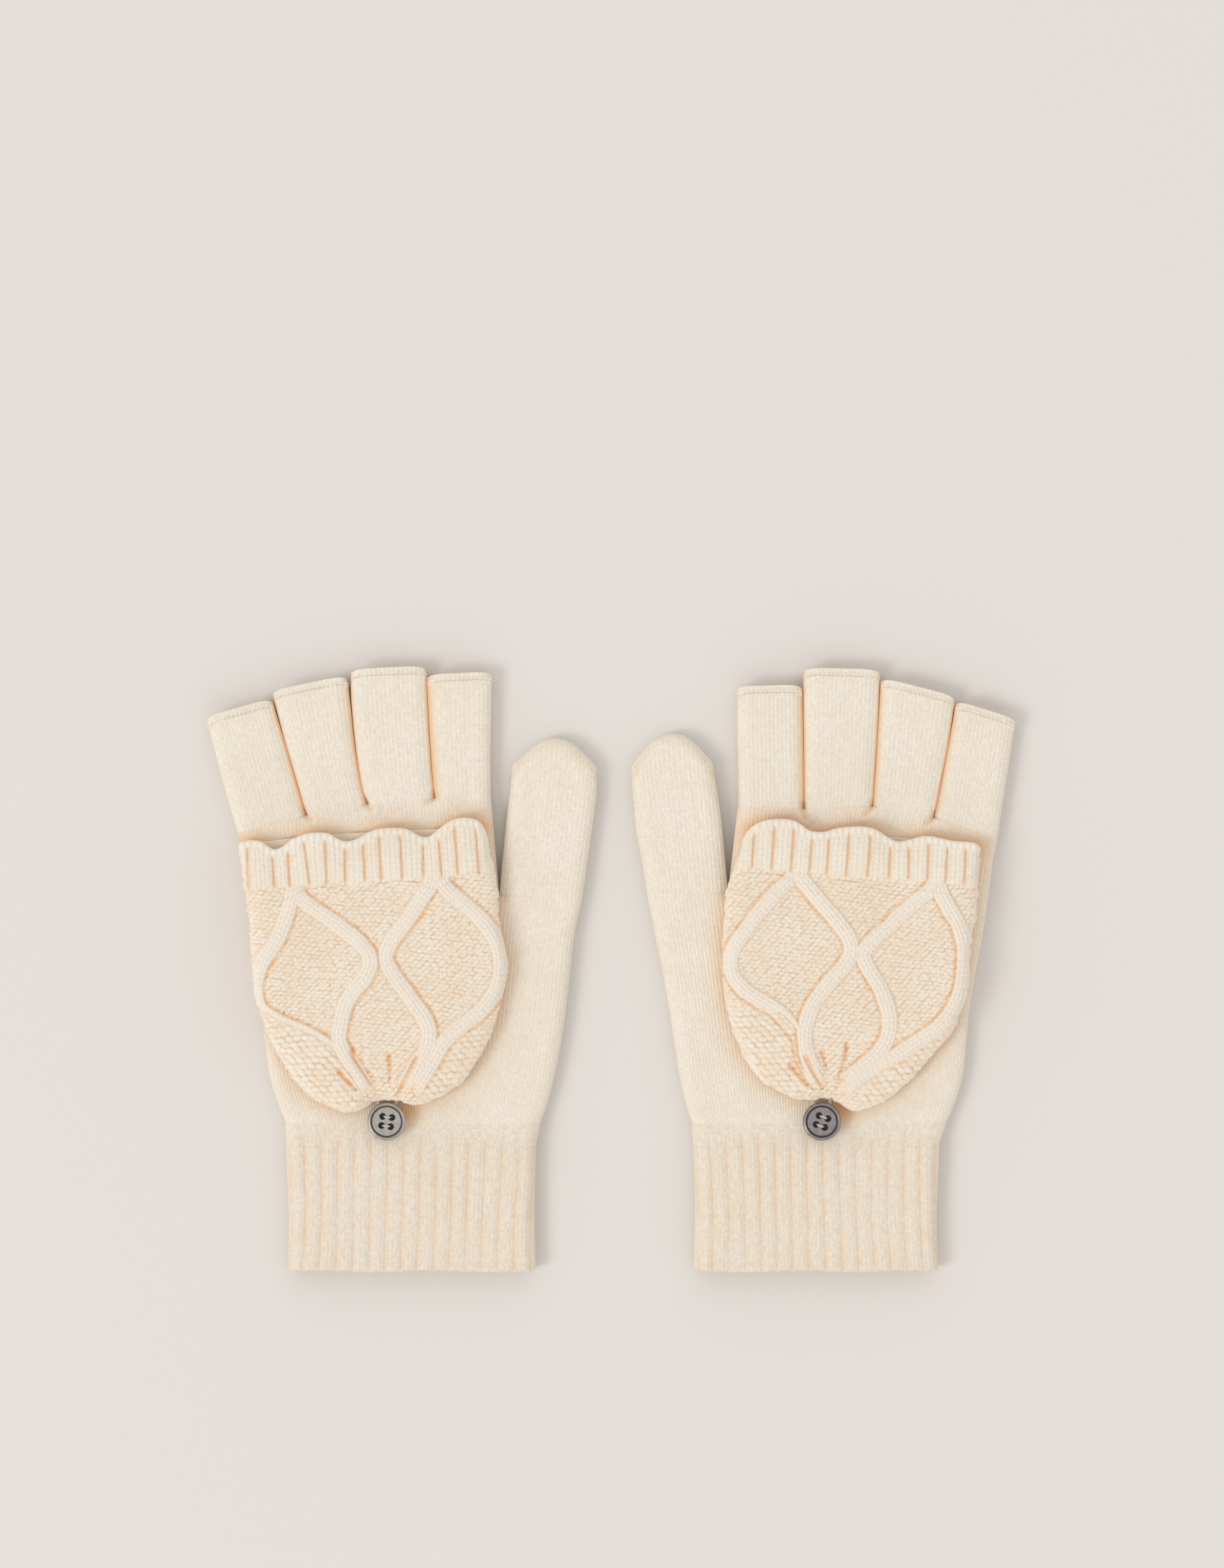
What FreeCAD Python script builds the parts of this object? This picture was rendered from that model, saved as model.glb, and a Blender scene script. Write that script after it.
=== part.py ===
import FreeCAD, Part

import math
import os

from FreeCAD import Vector

# A pair of knitted flip-top gloves lying palm down: half-length finger tubes, a full thumb and,
# on each, a chunky cap folded back over the hand and held by a loop round a sewn-on button.
#
# Each glove is laid out in its own plan: u runs from the little finger's side towards the thumb,
# v from the cuff towards the fingertips, z up from the surface it lies on. The left glove has u
# along +X, and the right glove is its mirror image. All sizes are millimetres and degrees.

# ---- driving dimensions ----
GLOVE_SPACING = 154.0           # across the pair, from one glove's u = 0 to the other's

HEM_V = -102.5                  # the cuff's free edge
WRIST_V = -53.5                 # where the ribbed cuff meets the plain hand
CUFF_HEM_SPAN = (-33.8, 50.0)   # u of the cuff's two sides at its free edge
CUFF_TOP_SPAN = (-34.6, 50.3)   # and at the wrist
CUFF_WALL = 1.7
CUFF_EXTRA = 0.8                # how much thicker the ribbing lies than the plain hand

KNIT_THICK = 7.4                # the fine knit, both layers and the slack between them
KNIT_WALL = 1.3
# The hand's two sides, from the wrist up: (v, u of the little finger's side, u of the thumb's side).
# Above them the outer side runs on to the little finger's base, and the gusset to the thumb's.
HAND_STATIONS = (
    (WRIST_V, -35.5, 51.4),
    (-37.0, -41.0, 55.7),
    (-12.7, -43.5, 59.3),
    (11.8, -47.6, 62.9),
)

KNUCKLE_V = 56.8                # v of the index finger's base line, on the thumb's side
INDEX_SIDE_U = 35.1             # u of the hand's edge between the index finger and the thumb
# Each finger, from the thumb's side outwards: (name, width at its base, lean away from the thumb, length)
FINGERS = (
    ("index", 20.9, 0.8, 41.6),
    ("middle", 23.4, 3.5, 46.1),
    ("ring", 21.3, 9.5, 43.2),
    ("little", 22.0, 13.5, 40.4),
)
HEM_HEIGHT = 2.0                # the rolled edge that ends each finger tube
HEM_WALL = 1.7

THUMB_CROTCH = (38.2, 25.8)     # (u, v) where the thumb leaves the hand
THUMB_WIDTH = 28.0
THUMB_LEAN = -6.9
THUMB_LENGTH = 55.3

BODY_GAP = 0.4                  # between knitted parts that move against each other
LAY_GAP = 0.3                   # between the hand's back and the cap that lies on it

CAP_WALL = 2.1                  # the chunky knit
CAP_INSIDE = 4.8                # height inside the folded pouch
# The mouth's edge runs straight between two corners, this far below the index finger's base line
CAP_MOUTH_SPAN = (-49.3, 32.5)
CAP_SETBACK_OUTER = 14.5
CAP_SETBACK_THUMB = 7.5
# The pouch from below its ribbed mouth to near its tip: (v, u of the outer side, u of the thumb's side)
CAP_STATIONS = (
    (30.0, -47.7, 36.0),
    (5.0, -45.8, 40.8),
    (-10.0, -43.2, 39.0),
    (-22.0, -40.0, 34.5),
    (-32.0, -34.5, 29.0),
    (-40.0, -26.5, 22.5),
)
CAP_TIP_SPAN = (-17.0, 14.0)    # u of the tip's two sides
CAP_TIP_SLACK = 0.8             # how much flatter the pouch is at its tip, above and below
RIB_BAND_DEPTH = 15.0           # ribbing along the mouth
SEAM_WIDTH = 2.6                # the linked ridge that joins the cap to the hand's back
SEAM_HEIGHT = 1.9
SEAM_SETBACK = 0.6              # from the mouth's edge

BUTTON_RADIUS = 6.5
BUTTON_V = -51.6
BUTTON_U = {"left": -0.4, "right": 7.0}         # each is sewn on by hand, under its own cap's tip
BUTTON_TURN = {"left": -7.4, "right": 19.5}     # how far its holes are turned from square
BUTTON_EDGE = 1.6               # height of its straight edge
BUTTON_RIM_RISE = 0.9           # the rounded rim above that
BUTTON_RIM_WIDTH = 1.2
BUTTON_GROOVE_WIDTH = 0.35
BUTTON_GROOVE_DEPTH = 0.35
BUTTON_BEVEL = 0.8              # under the edge
HOLE_RADIUS = 1.0
HOLE_SPACING = 3.1              # between the centres of neighbouring holes, which make a square
THREAD_RADIUS = 0.42
THREAD_LIFT = 0.05              # between a stitch and the button's face
STITCH_BEND = 0.6               # where a stitch turns out of its hole
SHANK_RADIUS = 1.2              # the wound thread under the button
SHANK_CROWN = 0.35              # height of its spread top, just under the button
CAP_BUTTON_GAP = 0.5

LOOP_YARN_RADIUS = 0.8          # the loop of yarn at the cap's tip
LOOP_SLACK = 0.5                # between the loop and the thread that it goes round
LOOP_CLEARANCE = 0.4            # between the loop and the button above it

# ---- worked out from them ----
CUFF_THICK = KNIT_THICK + CUFF_EXTRA
CAP_MOUTH_OUTER = (CAP_MOUTH_SPAN[0], KNUCKLE_V - CAP_SETBACK_OUTER)
CAP_MOUTH_THUMB = (CAP_MOUTH_SPAN[1], KNUCKLE_V - CAP_SETBACK_THUMB)
CAP_THICK = 2 * CAP_WALL + CAP_INSIDE
CAP_LOW_Z = KNIT_THICK + LAY_GAP
CAP_MID_Z = CAP_LOW_Z + CAP_THICK / 2
CAP_TIP_V = BUTTON_V + BUTTON_RADIUS + CAP_BUTTON_GAP
MOUTH_ANGLE = math.degrees(math.atan2(CAP_MOUTH_THUMB[1] - CAP_MOUTH_OUTER[1],
                                      CAP_MOUTH_THUMB[0] - CAP_MOUTH_OUTER[0]))
LOOP_Z = max(CAP_LOW_Z + CAP_TIP_SLACK, CUFF_THICK + LAY_GAP) + LOOP_YARN_RADIUS
LOOP_RADIUS = SHANK_RADIUS + LOOP_SLACK + LOOP_YARN_RADIUS
BUTTON_LOW_Z = LOOP_Z + LOOP_YARN_RADIUS + LOOP_CLEARANCE
STITCH_Z = BUTTON_EDGE + THREAD_RADIUS + THREAD_LIFT     # a stitch's middle, above the button's underside
PAST = 2.0                      # how far a cutting shape runs past the face it opens
FAR = 400.0                     # larger than the pair


# ---- shapes ----
def stadium(v, u_low, u_high, z_low, z_high):
    """A closed outline across a glove at one v: flat below, half-round, flat above, half-round."""
    r = (z_high - z_low) / 2
    middle = (z_low + z_high) / 2
    a = Vector(u_low + r, v, z_low)
    b = Vector(u_high - r, v, z_low)
    c = Vector(u_high, v, middle)
    d = Vector(u_high - r, v, z_high)
    e = Vector(u_low + r, v, z_high)
    f = Vector(u_low, v, middle)
    return [
        Part.LineSegment(a, b).toShape(),
        Part.Arc(b, c, d).toShape(),
        Part.LineSegment(d, e).toShape(),
        Part.Arc(e, f, a).toShape(),
    ]


def span(here, there):
    """The four faces between two outlines. Their flat edges are parallel, so they make true planes."""
    faces = []
    for first, second in zip(here, there):
        a, b = first.firstVertex(True).Point, first.lastVertex(True).Point
        c, d = second.lastVertex(True).Point, second.firstVertex(True).Point
        if first.Curve.TypeId == "Part::GeomLine":
            faces.append(Part.Face(Part.makePolygon([a, b, c, d, a])))
        else:
            faces.append(Part.makeRuledSurface(first, second))
    return faces


def skin_over(outlines):
    """A closed solid through outlines made by stadium."""
    faces = [Part.Face(Part.Wire(outlines[0])), Part.Face(Part.Wire(outlines[-1]))]
    for here, there in zip(outlines, outlines[1:]):
        faces += span(here, there)
    solid = Part.makeSolid(Part.makeShell(faces))
    if solid.Volume < 0:
        solid.reverse()
    return solid.removeSplitter()


def flat_loft(stations, z_low, z_high, inset=0.0, past=0.0):
    """A flat knitted form through stations of (v, u, u); inset and past make the space inside it."""
    first, last = stations[0], stations[-1]
    rows = list(stations)
    if past:
        rows = [(first[0] - past,) + tuple(first[1:])] + rows + [(last[0] + past,) + tuple(last[1:])]
    return skin_over([
        stadium(v, u_low + inset, u_high - inset, z_low + inset, z_high - inset)
        for v, u_low, u_high in rows
    ])


def beyond(point, angle):
    """Everything past a line in plan, through a point (u, v) and turned by an angle from u."""
    block = Part.makeBox(2 * FAR, FAR, 2 * FAR, Vector(-FAR, 0, -FAR))
    block.rotate(Vector(0, 0, 0), Vector(0, 0, 1), angle)
    block.translate(Vector(point[0], point[1], 0))
    return block


def above(z):
    """Everything above a height."""
    return Part.makeBox(2 * FAR, 2 * FAR, FAR, Vector(-FAR, -FAR, z))


def half_disc(radius, z_low, z_high):
    """The rounded end of a closed tube, half a disc with a half-round edge, towards +v."""
    r = (z_high - z_low) / 2
    middle = (z_low + z_high) / 2
    corners = [Vector(radius - r, 0, z_low), Vector(radius, 0, middle), Vector(radius - r, 0, z_high)]
    edges = [
        Part.LineSegment(Vector(0, 0, z_low), corners[0]).toShape(),
        Part.Arc(*corners).toShape(),
        Part.LineSegment(corners[2], Vector(0, 0, z_high)).toShape(),
        Part.LineSegment(Vector(0, 0, z_high), Vector(0, 0, z_low)).toShape(),
    ]
    face = Part.Face(Part.Wire(edges))
    return face.revolve(Vector(0, 0, 0), Vector(0, 0, 1), 180)


# ---- where the digits start ----
def along(lean):
    """Unit direction of a digit that leans away from the thumb."""
    turn = math.radians(lean)
    return Vector(-math.sin(turn), math.cos(turn), 0)


def across(lean):
    """Unit direction along a digit's base line, away from the thumb."""
    turn = math.radians(lean)
    return Vector(-math.cos(turn), -math.sin(turn), 0)


def finger_bases():
    """Each finger's base line, as name: (end on the thumb's side, middle, outer end)."""
    bases = {}
    start = Vector(INDEX_SIDE_U, KNUCKLE_V, 0)
    for name, width, lean, _ in FINGERS:
        end = start + across(lean) * width
        bases[name] = (start, (start + end) * 0.5, end)
        start = end
    return bases


def thumb_base():
    """The middle of the thumb's base line."""
    return Vector(THUMB_CROTCH[0], THUMB_CROTCH[1], 0) - across(THUMB_LEAN) * (THUMB_WIDTH / 2)


def stand_on_base(shape, middle, lean):
    """Moves a digit made along +v from the origin to its base line."""
    shape.rotate(Vector(0, 0, 0), Vector(0, 0, 1), lean)
    shape.translate(middle)
    return shape


# ---- the hand and cuff ----
def hand_form(inset, past):
    """The palm with the thumb's gusset, and the part between thumb and knuckles, in one piece."""
    bases = finger_bases()
    little_end = bases["little"][2]
    thumb_end = thumb_base() - across(THUMB_LEAN) * (THUMB_WIDTH / 2)
    # where the gusset's edge would run on to, past the thumb's base line
    run_on = thumb_end + along(THUMB_LEAN) * THUMB_WIDTH
    v, outer_u, thumb_u = HAND_STATIONS[-1]
    slope = (little_end.x - outer_u) / (little_end.y - v)
    rows = HAND_STATIONS + (
        (thumb_end.y, outer_u + slope * (thumb_end.y - v), thumb_end.x),
        (run_on.y, outer_u + slope * (run_on.y - v), run_on.x),
    )
    gusset = flat_loft(rows, 0, KNIT_THICK, inset, past).cut(beyond(THUMB_CROTCH, THUMB_LEAN))
    knuckles = (
        (v, outer_u, INDEX_SIDE_U),
        (little_end.y, little_end.x, INDEX_SIDE_U),
        (KNUCKLE_V + PAST, little_end.x, INDEX_SIDE_U),
    )
    upper = flat_loft(knuckles, 0, KNIT_THICK, inset)
    if not inset:
        for name, _, lean, _ in FINGERS:
            start = bases[name][0]
            upper = upper.cut(beyond((start.x, start.y), lean))
    return gusset.fuse(upper)


def hand():
    return hand_form(0.0, 0.0).cut(hand_form(KNIT_WALL, PAST)).removeSplitter()


def cuff():
    sides = ((HEM_V,) + CUFF_HEM_SPAN, (WRIST_V,) + CUFF_TOP_SPAN)
    outside = flat_loft(sides, 0, CUFF_THICK)
    return outside.cut(flat_loft(sides, 0, CUFF_THICK, CUFF_WALL, PAST))


# ---- the digits ----
def open_tube(width, start, end, wall):
    """A straight tube of knit from start to end along v, open at both."""
    sides = ((start, -width / 2, width / 2), (end, -width / 2, width / 2))
    outside = flat_loft(sides, 0, KNIT_THICK)
    return outside.cut(flat_loft(sides, 0, KNIT_THICK, wall, PAST))


def fingers():
    """Each finger's tube and the rolled hem on its end."""
    made = {}
    bases = finger_bases()
    for name, width, lean, length in FINGERS:
        middle = bases[name][1]
        body_end = length - HEM_HEIGHT
        tube = open_tube(width - BODY_GAP, BODY_GAP, body_end, KNIT_WALL)
        hem = open_tube(width - BODY_GAP, body_end, length, HEM_WALL)
        made[name + "_finger"] = stand_on_base(tube, middle, lean)
        made[name + "_finger_hem"] = stand_on_base(hem, middle, lean)
    return made


def closed_tube(width, start, length, inset):
    """A thumb's form: a straight tube with a rounded end."""
    radius = width / 2
    centre = length - radius
    sides = ((start, -radius, radius), (centre, -radius, radius))
    straight = flat_loft(sides, 0, KNIT_THICK, inset)
    end = half_disc(radius - inset, inset, KNIT_THICK - inset)
    end.translate(Vector(0, centre, 0))
    return straight.fuse(end)


def thumb():
    outside = closed_tube(THUMB_WIDTH, BODY_GAP, THUMB_LENGTH, 0.0)
    inside = closed_tube(THUMB_WIDTH, BODY_GAP - PAST, THUMB_LENGTH, KNIT_WALL)
    return stand_on_base(outside.cut(inside).removeSplitter(), thumb_base(), THUMB_LEAN)


# ---- the cap ----
def cap_form(inset, past):
    """The pouch from past its mouth to its flattened tip, or the space inside it."""
    low, high = CAP_LOW_Z + inset, CAP_LOW_Z + CAP_THICK - inset
    mouth = (max(CAP_MOUTH_OUTER[1], CAP_MOUTH_THUMB[1]) + PAST + past,) + CAP_MOUTH_SPAN
    outlines = [stadium(v, u0 + inset, u1 - inset, low, high) for v, u0, u1 in (mouth,) + CAP_STATIONS]
    tip = stadium(CAP_TIP_V + inset, CAP_TIP_SPAN[0] + inset, CAP_TIP_SPAN[1] - inset,
                  low + CAP_TIP_SLACK, high - CAP_TIP_SLACK)
    outlines.append(tip)
    return skin_over(outlines)


def mouth_line(setback):
    """A point on the line that runs a distance behind the mouth's edge."""
    turn = math.radians(MOUTH_ANGLE)
    return (CAP_MOUTH_THUMB[0] + setback * math.sin(turn), CAP_MOUTH_THUMB[1] - setback * math.cos(turn))


def cap():
    """The upper panel, the ribbed band along its mouth, and the lower panel."""
    pouch = cap_form(0.0, 0.0).cut(cap_form(CAP_WALL, PAST))
    upper_half = above(CAP_MID_Z)
    upper = pouch.common(upper_half).cut(beyond(mouth_line(0.0), MOUTH_ANGLE))
    past_band = beyond(mouth_line(RIB_BAND_DEPTH), MOUTH_ANGLE)
    lower_start = SEAM_SETBACK + SEAM_WIDTH + BODY_GAP
    lower = pouch.cut(upper_half).cut(beyond(mouth_line(lower_start), MOUTH_ANGLE))
    return {
        "cap_front": upper.cut(past_band),
        "cap_rib_band": upper.common(past_band),
        "cap_back": lower,
    }


def cap_seam():
    """The linked ridge across the hand's back that the cap hangs from."""
    length = math.dist(CAP_MOUTH_OUTER, CAP_MOUTH_THUMB) - 2 * CAP_THICK
    ridge = Part.makeBox(length, SEAM_WIDTH, SEAM_HEIGHT, Vector(-length - CAP_THICK, 0, KNIT_THICK))
    tops = [e for e in ridge.Edges
            if all(v.Z > KNIT_THICK + SEAM_HEIGHT / 2 for v in e.Vertexes) and e.Length > SEAM_WIDTH]
    ridge = ridge.makeFillet(SEAM_WIDTH * 0.4, tops)
    ridge.rotate(Vector(0, 0, 0), Vector(0, 0, 1), MOUTH_ANGLE)
    corner = mouth_line(SEAM_SETBACK + SEAM_WIDTH)
    ridge.translate(Vector(corner[0], corner[1], 0))
    return ridge


# ---- the button and the loop round it ----
def hole_centres():
    half = HOLE_SPACING / 2
    return [Vector(x, y, 0) for x in (-half, half) for y in (-half, half)]


def button():
    """A turned metal disc with a rounded rim, a groove inside it and four holes."""
    r, top = BUTTON_RADIUS, BUTTON_EDGE
    dish = r - BUTTON_RIM_WIDTH
    groove = dish - BUTTON_GROOVE_WIDTH
    points = [
        Vector(0, 0, 0),
        Vector(r - BUTTON_BEVEL, 0, 0),
        Vector(r, 0, BUTTON_BEVEL),
        Vector(r, 0, top),
    ]
    rim_top = Vector((r + dish) / 2, 0, top + BUTTON_RIM_RISE)
    inner = [
        Vector(dish, 0, top),
        Vector(dish, 0, top - BUTTON_GROOVE_DEPTH),
        Vector(groove, 0, top - BUTTON_GROOVE_DEPTH),
        Vector(groove, 0, top),
        Vector(0, 0, top),
        Vector(0, 0, 0),
    ]
    edges = [Part.LineSegment(a, b).toShape() for a, b in zip(points, points[1:])]
    edges.append(Part.Arc(points[-1], rim_top, inner[0]).toShape())
    edges += [Part.LineSegment(a, b).toShape() for a, b in zip(inner, inner[1:])]
    disc = Part.Face(Part.Wire(edges)).revolve(Vector(0, 0, 0), Vector(0, 0, 1), 360)
    for centre in hole_centres():
        disc = disc.cut(Part.makeCylinder(HOLE_RADIUS, FAR, centre - Vector(0, 0, PAST)))
    return disc


def stitch(v):
    """Thread up through one hole, across the button's face and down the next, from its underside."""
    half, bend, top = HOLE_SPACING / 2, STITCH_BEND, STITCH_Z
    lean = bend * math.sqrt(0.5)
    path = [
        Part.LineSegment(Vector(-half, v, 0), Vector(-half, v, top - bend)),
        Part.Arc(Vector(-half, v, top - bend), Vector(-half + bend - lean, v, top - bend + lean),
                 Vector(-half + bend, v, top)),
        Part.LineSegment(Vector(-half + bend, v, top), Vector(half - bend, v, top)),
        Part.Arc(Vector(half - bend, v, top), Vector(half - bend + lean, v, top - bend + lean),
                 Vector(half, v, top - bend)),
        Part.LineSegment(Vector(half, v, top - bend), Vector(half, v, 0)),
    ]
    path = Part.Wire([piece.toShape() for piece in path])
    section = Part.Wire([Part.makeCircle(THREAD_RADIUS, Vector(-half, v, 0), Vector(0, 0, 1))])
    return path.makePipeShell([section], True, False)


def button_thread():
    """The wound shank with its spread crown on the hand's back, and two stitches through the button."""
    height = BUTTON_LOW_Z - KNIT_THICK
    crown_radius = HOLE_SPACING / math.sqrt(2) + 2 * THREAD_RADIUS
    shank = Part.makeCylinder(SHANK_RADIUS, height)
    crown = Part.makeCylinder(crown_radius, SHANK_CROWN, Vector(0, 0, height - SHANK_CROWN))
    stitches = [stitch(v) for v in (-HOLE_SPACING / 2, HOLE_SPACING / 2)]
    for shape in stitches:
        shape.translate(Vector(0, 0, height))
    return shank.multiFuse([crown] + stitches).removeSplitter()


def button_loop():
    """The loop of yarn from the cap's tip round the button's thread, open towards the tip."""
    reach = CAP_TIP_V - BUTTON_V
    low = Vector(0, -LOOP_RADIUS, 0)
    left, right = Vector(-LOOP_RADIUS, 0, 0), Vector(LOOP_RADIUS, 0, 0)
    path = Part.Wire([
        Part.LineSegment(left + Vector(0, reach, 0), left).toShape(),
        Part.Arc(left, low, right).toShape(),
        Part.LineSegment(right, right + Vector(0, reach, 0)).toShape(),
    ])
    section = Part.Wire([Part.makeCircle(LOOP_YARN_RADIUS, left + Vector(0, reach, 0), Vector(0, 1, 0))])
    return path.makePipeShell([section], True, False)


def button_place(side, z):
    return Vector(BUTTON_U[side], BUTTON_V, z)


# ---- one glove, and the pair ----
def glove(side):
    nodes = {"hand": hand(), "cuff": cuff(), "thumb": thumb(), "cap_seam": cap_seam()}
    nodes.update(fingers())
    nodes.update(cap())
    sewn_on = (("button", button(), BUTTON_LOW_Z), ("button_thread", button_thread(), KNIT_THICK))
    for name, shape, z in sewn_on:
        shape.rotate(Vector(0, 0, 0), Vector(0, 0, 1), BUTTON_TURN[side])
        shape.translate(button_place(side, z))
        nodes[name] = shape
    loop = button_loop()
    loop.translate(button_place(side, LOOP_Z))
    nodes["button_loop"] = loop
    return nodes


def to_pair(side, thing):
    """Takes a shape from its glove's plan to its place in the pair."""
    if side == "right":
        thing = thing.mirror(Vector(0, 0, 0), Vector(1, 0, 0))
    thing.translate(Vector(GLOVE_SPACING / 2 * (1 if side == "right" else -1), 0, 0))
    return thing


def pair():
    """Every node, and the shift that puts the pair's bottom centre at the origin."""
    nodes = {}
    for side in ("left", "right"):
        for name, shape in glove(side).items():
            nodes[side + "_" + name] = to_pair(side, shape)
    box = Part.makeCompound(list(nodes.values())).optimalBoundingBox(False, False)
    shift = Vector(-box.Center.x, -box.Center.y, -box.ZMin)
    for shape in nodes.values():
        shape.translate(shift)
    return nodes, shift


NODES, SHIFT = pair()

os.makedirs("parts", exist_ok=True)
for node, shape in NODES.items():
    solids = shape.Solids
    print(node, "solids", len(solids), "valid", shape.isValid(), "volume", round(shape.Volume, 1))
    whole = solids[0] if len(solids) == 1 else Part.makeCompound(solids)
    whole.exportStep("parts/" + node + ".step")
print("shift", tuple(round(c, 4) for c in SHIFT))
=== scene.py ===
import math

import bmesh
import bpy
import numpy as np
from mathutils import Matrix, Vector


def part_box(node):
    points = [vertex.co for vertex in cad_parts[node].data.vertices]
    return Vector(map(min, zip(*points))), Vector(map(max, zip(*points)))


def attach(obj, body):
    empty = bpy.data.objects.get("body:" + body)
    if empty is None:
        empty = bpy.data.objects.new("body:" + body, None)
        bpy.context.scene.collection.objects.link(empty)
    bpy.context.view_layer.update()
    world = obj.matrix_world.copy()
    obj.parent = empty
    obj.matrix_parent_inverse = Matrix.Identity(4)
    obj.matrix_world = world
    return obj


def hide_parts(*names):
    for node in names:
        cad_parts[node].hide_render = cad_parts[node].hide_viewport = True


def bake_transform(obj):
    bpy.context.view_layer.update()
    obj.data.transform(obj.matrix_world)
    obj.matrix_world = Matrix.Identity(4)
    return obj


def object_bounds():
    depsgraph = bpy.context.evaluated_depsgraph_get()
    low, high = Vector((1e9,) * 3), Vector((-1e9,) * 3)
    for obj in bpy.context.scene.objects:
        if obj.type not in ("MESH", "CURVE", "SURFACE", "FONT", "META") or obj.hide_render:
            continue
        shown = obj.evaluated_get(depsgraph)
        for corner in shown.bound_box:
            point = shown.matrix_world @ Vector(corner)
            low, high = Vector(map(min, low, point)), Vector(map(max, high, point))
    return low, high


# A pair of knitted flip-top gloves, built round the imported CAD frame. Each glove is laid out in its
# own plan, in millimetres: u runs from the little finger's side to the thumb's, v from the cuff to the
# fingertips, z up from the table. The right glove's plan is mirrored when it is put in its place.

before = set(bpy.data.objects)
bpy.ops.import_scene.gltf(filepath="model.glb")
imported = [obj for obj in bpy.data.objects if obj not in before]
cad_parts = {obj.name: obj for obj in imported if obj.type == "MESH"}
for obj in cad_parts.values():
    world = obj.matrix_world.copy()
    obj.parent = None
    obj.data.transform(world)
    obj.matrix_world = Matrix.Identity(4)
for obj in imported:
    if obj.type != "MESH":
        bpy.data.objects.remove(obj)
cad_low, cad_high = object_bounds()

MM = 0.001
COARSE = 1

# ---- heights that come from the frame ----
HAND_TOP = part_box("left_hand")[1].z / MM
CUFF_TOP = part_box("left_cuff")[1].z / MM
CAP_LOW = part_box("left_cap_back")[0].z / MM
CAP_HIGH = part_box("left_cap_front")[1].z / MM
CAP_MIDDLE = (CAP_LOW + CAP_HIGH) / 2
HEM_V = -102.5                       # v of the cuffs' free edge
WRIST = -52.6                        # v of the line where the ribbing begins
CUFF_OUTER_U = -34.6                 # u of the cuffs' outer side at the wrist

# ---- knit ----
WALE = 1.25                          # width of one column of fine stitches
COURSE = 0.95                        # height of one row of fine stitches
WALE_STEPS = 4 // COARSE             # mesh columns to a column of stitches
WALE_RIDGE = 0.11
FINE_WALL = 1.3
SIDE_ROUND = 5.2                     # how far in from a folded side the knit reaches its full height
CABLE_WALL = 2.1
CABLE_COURSE = 1.9                   # height of one chunky stitch
THUMB_WIDTH = 28.0
DENSE = 40                           # points of a plan's row between two corner points
INSIDE_ROWS = 8                      # rows of the outside to one of the inside
# painted tan shade on the glove's inside
INSIDE_PAINTED_SHADE = 0.5
UNDERSIDE = 0.6                      # how strong the relief and the painted shade are on the side that lies on the table
CREASE = 62                          # edges that bend by more degrees than this are drawn sharp

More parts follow.
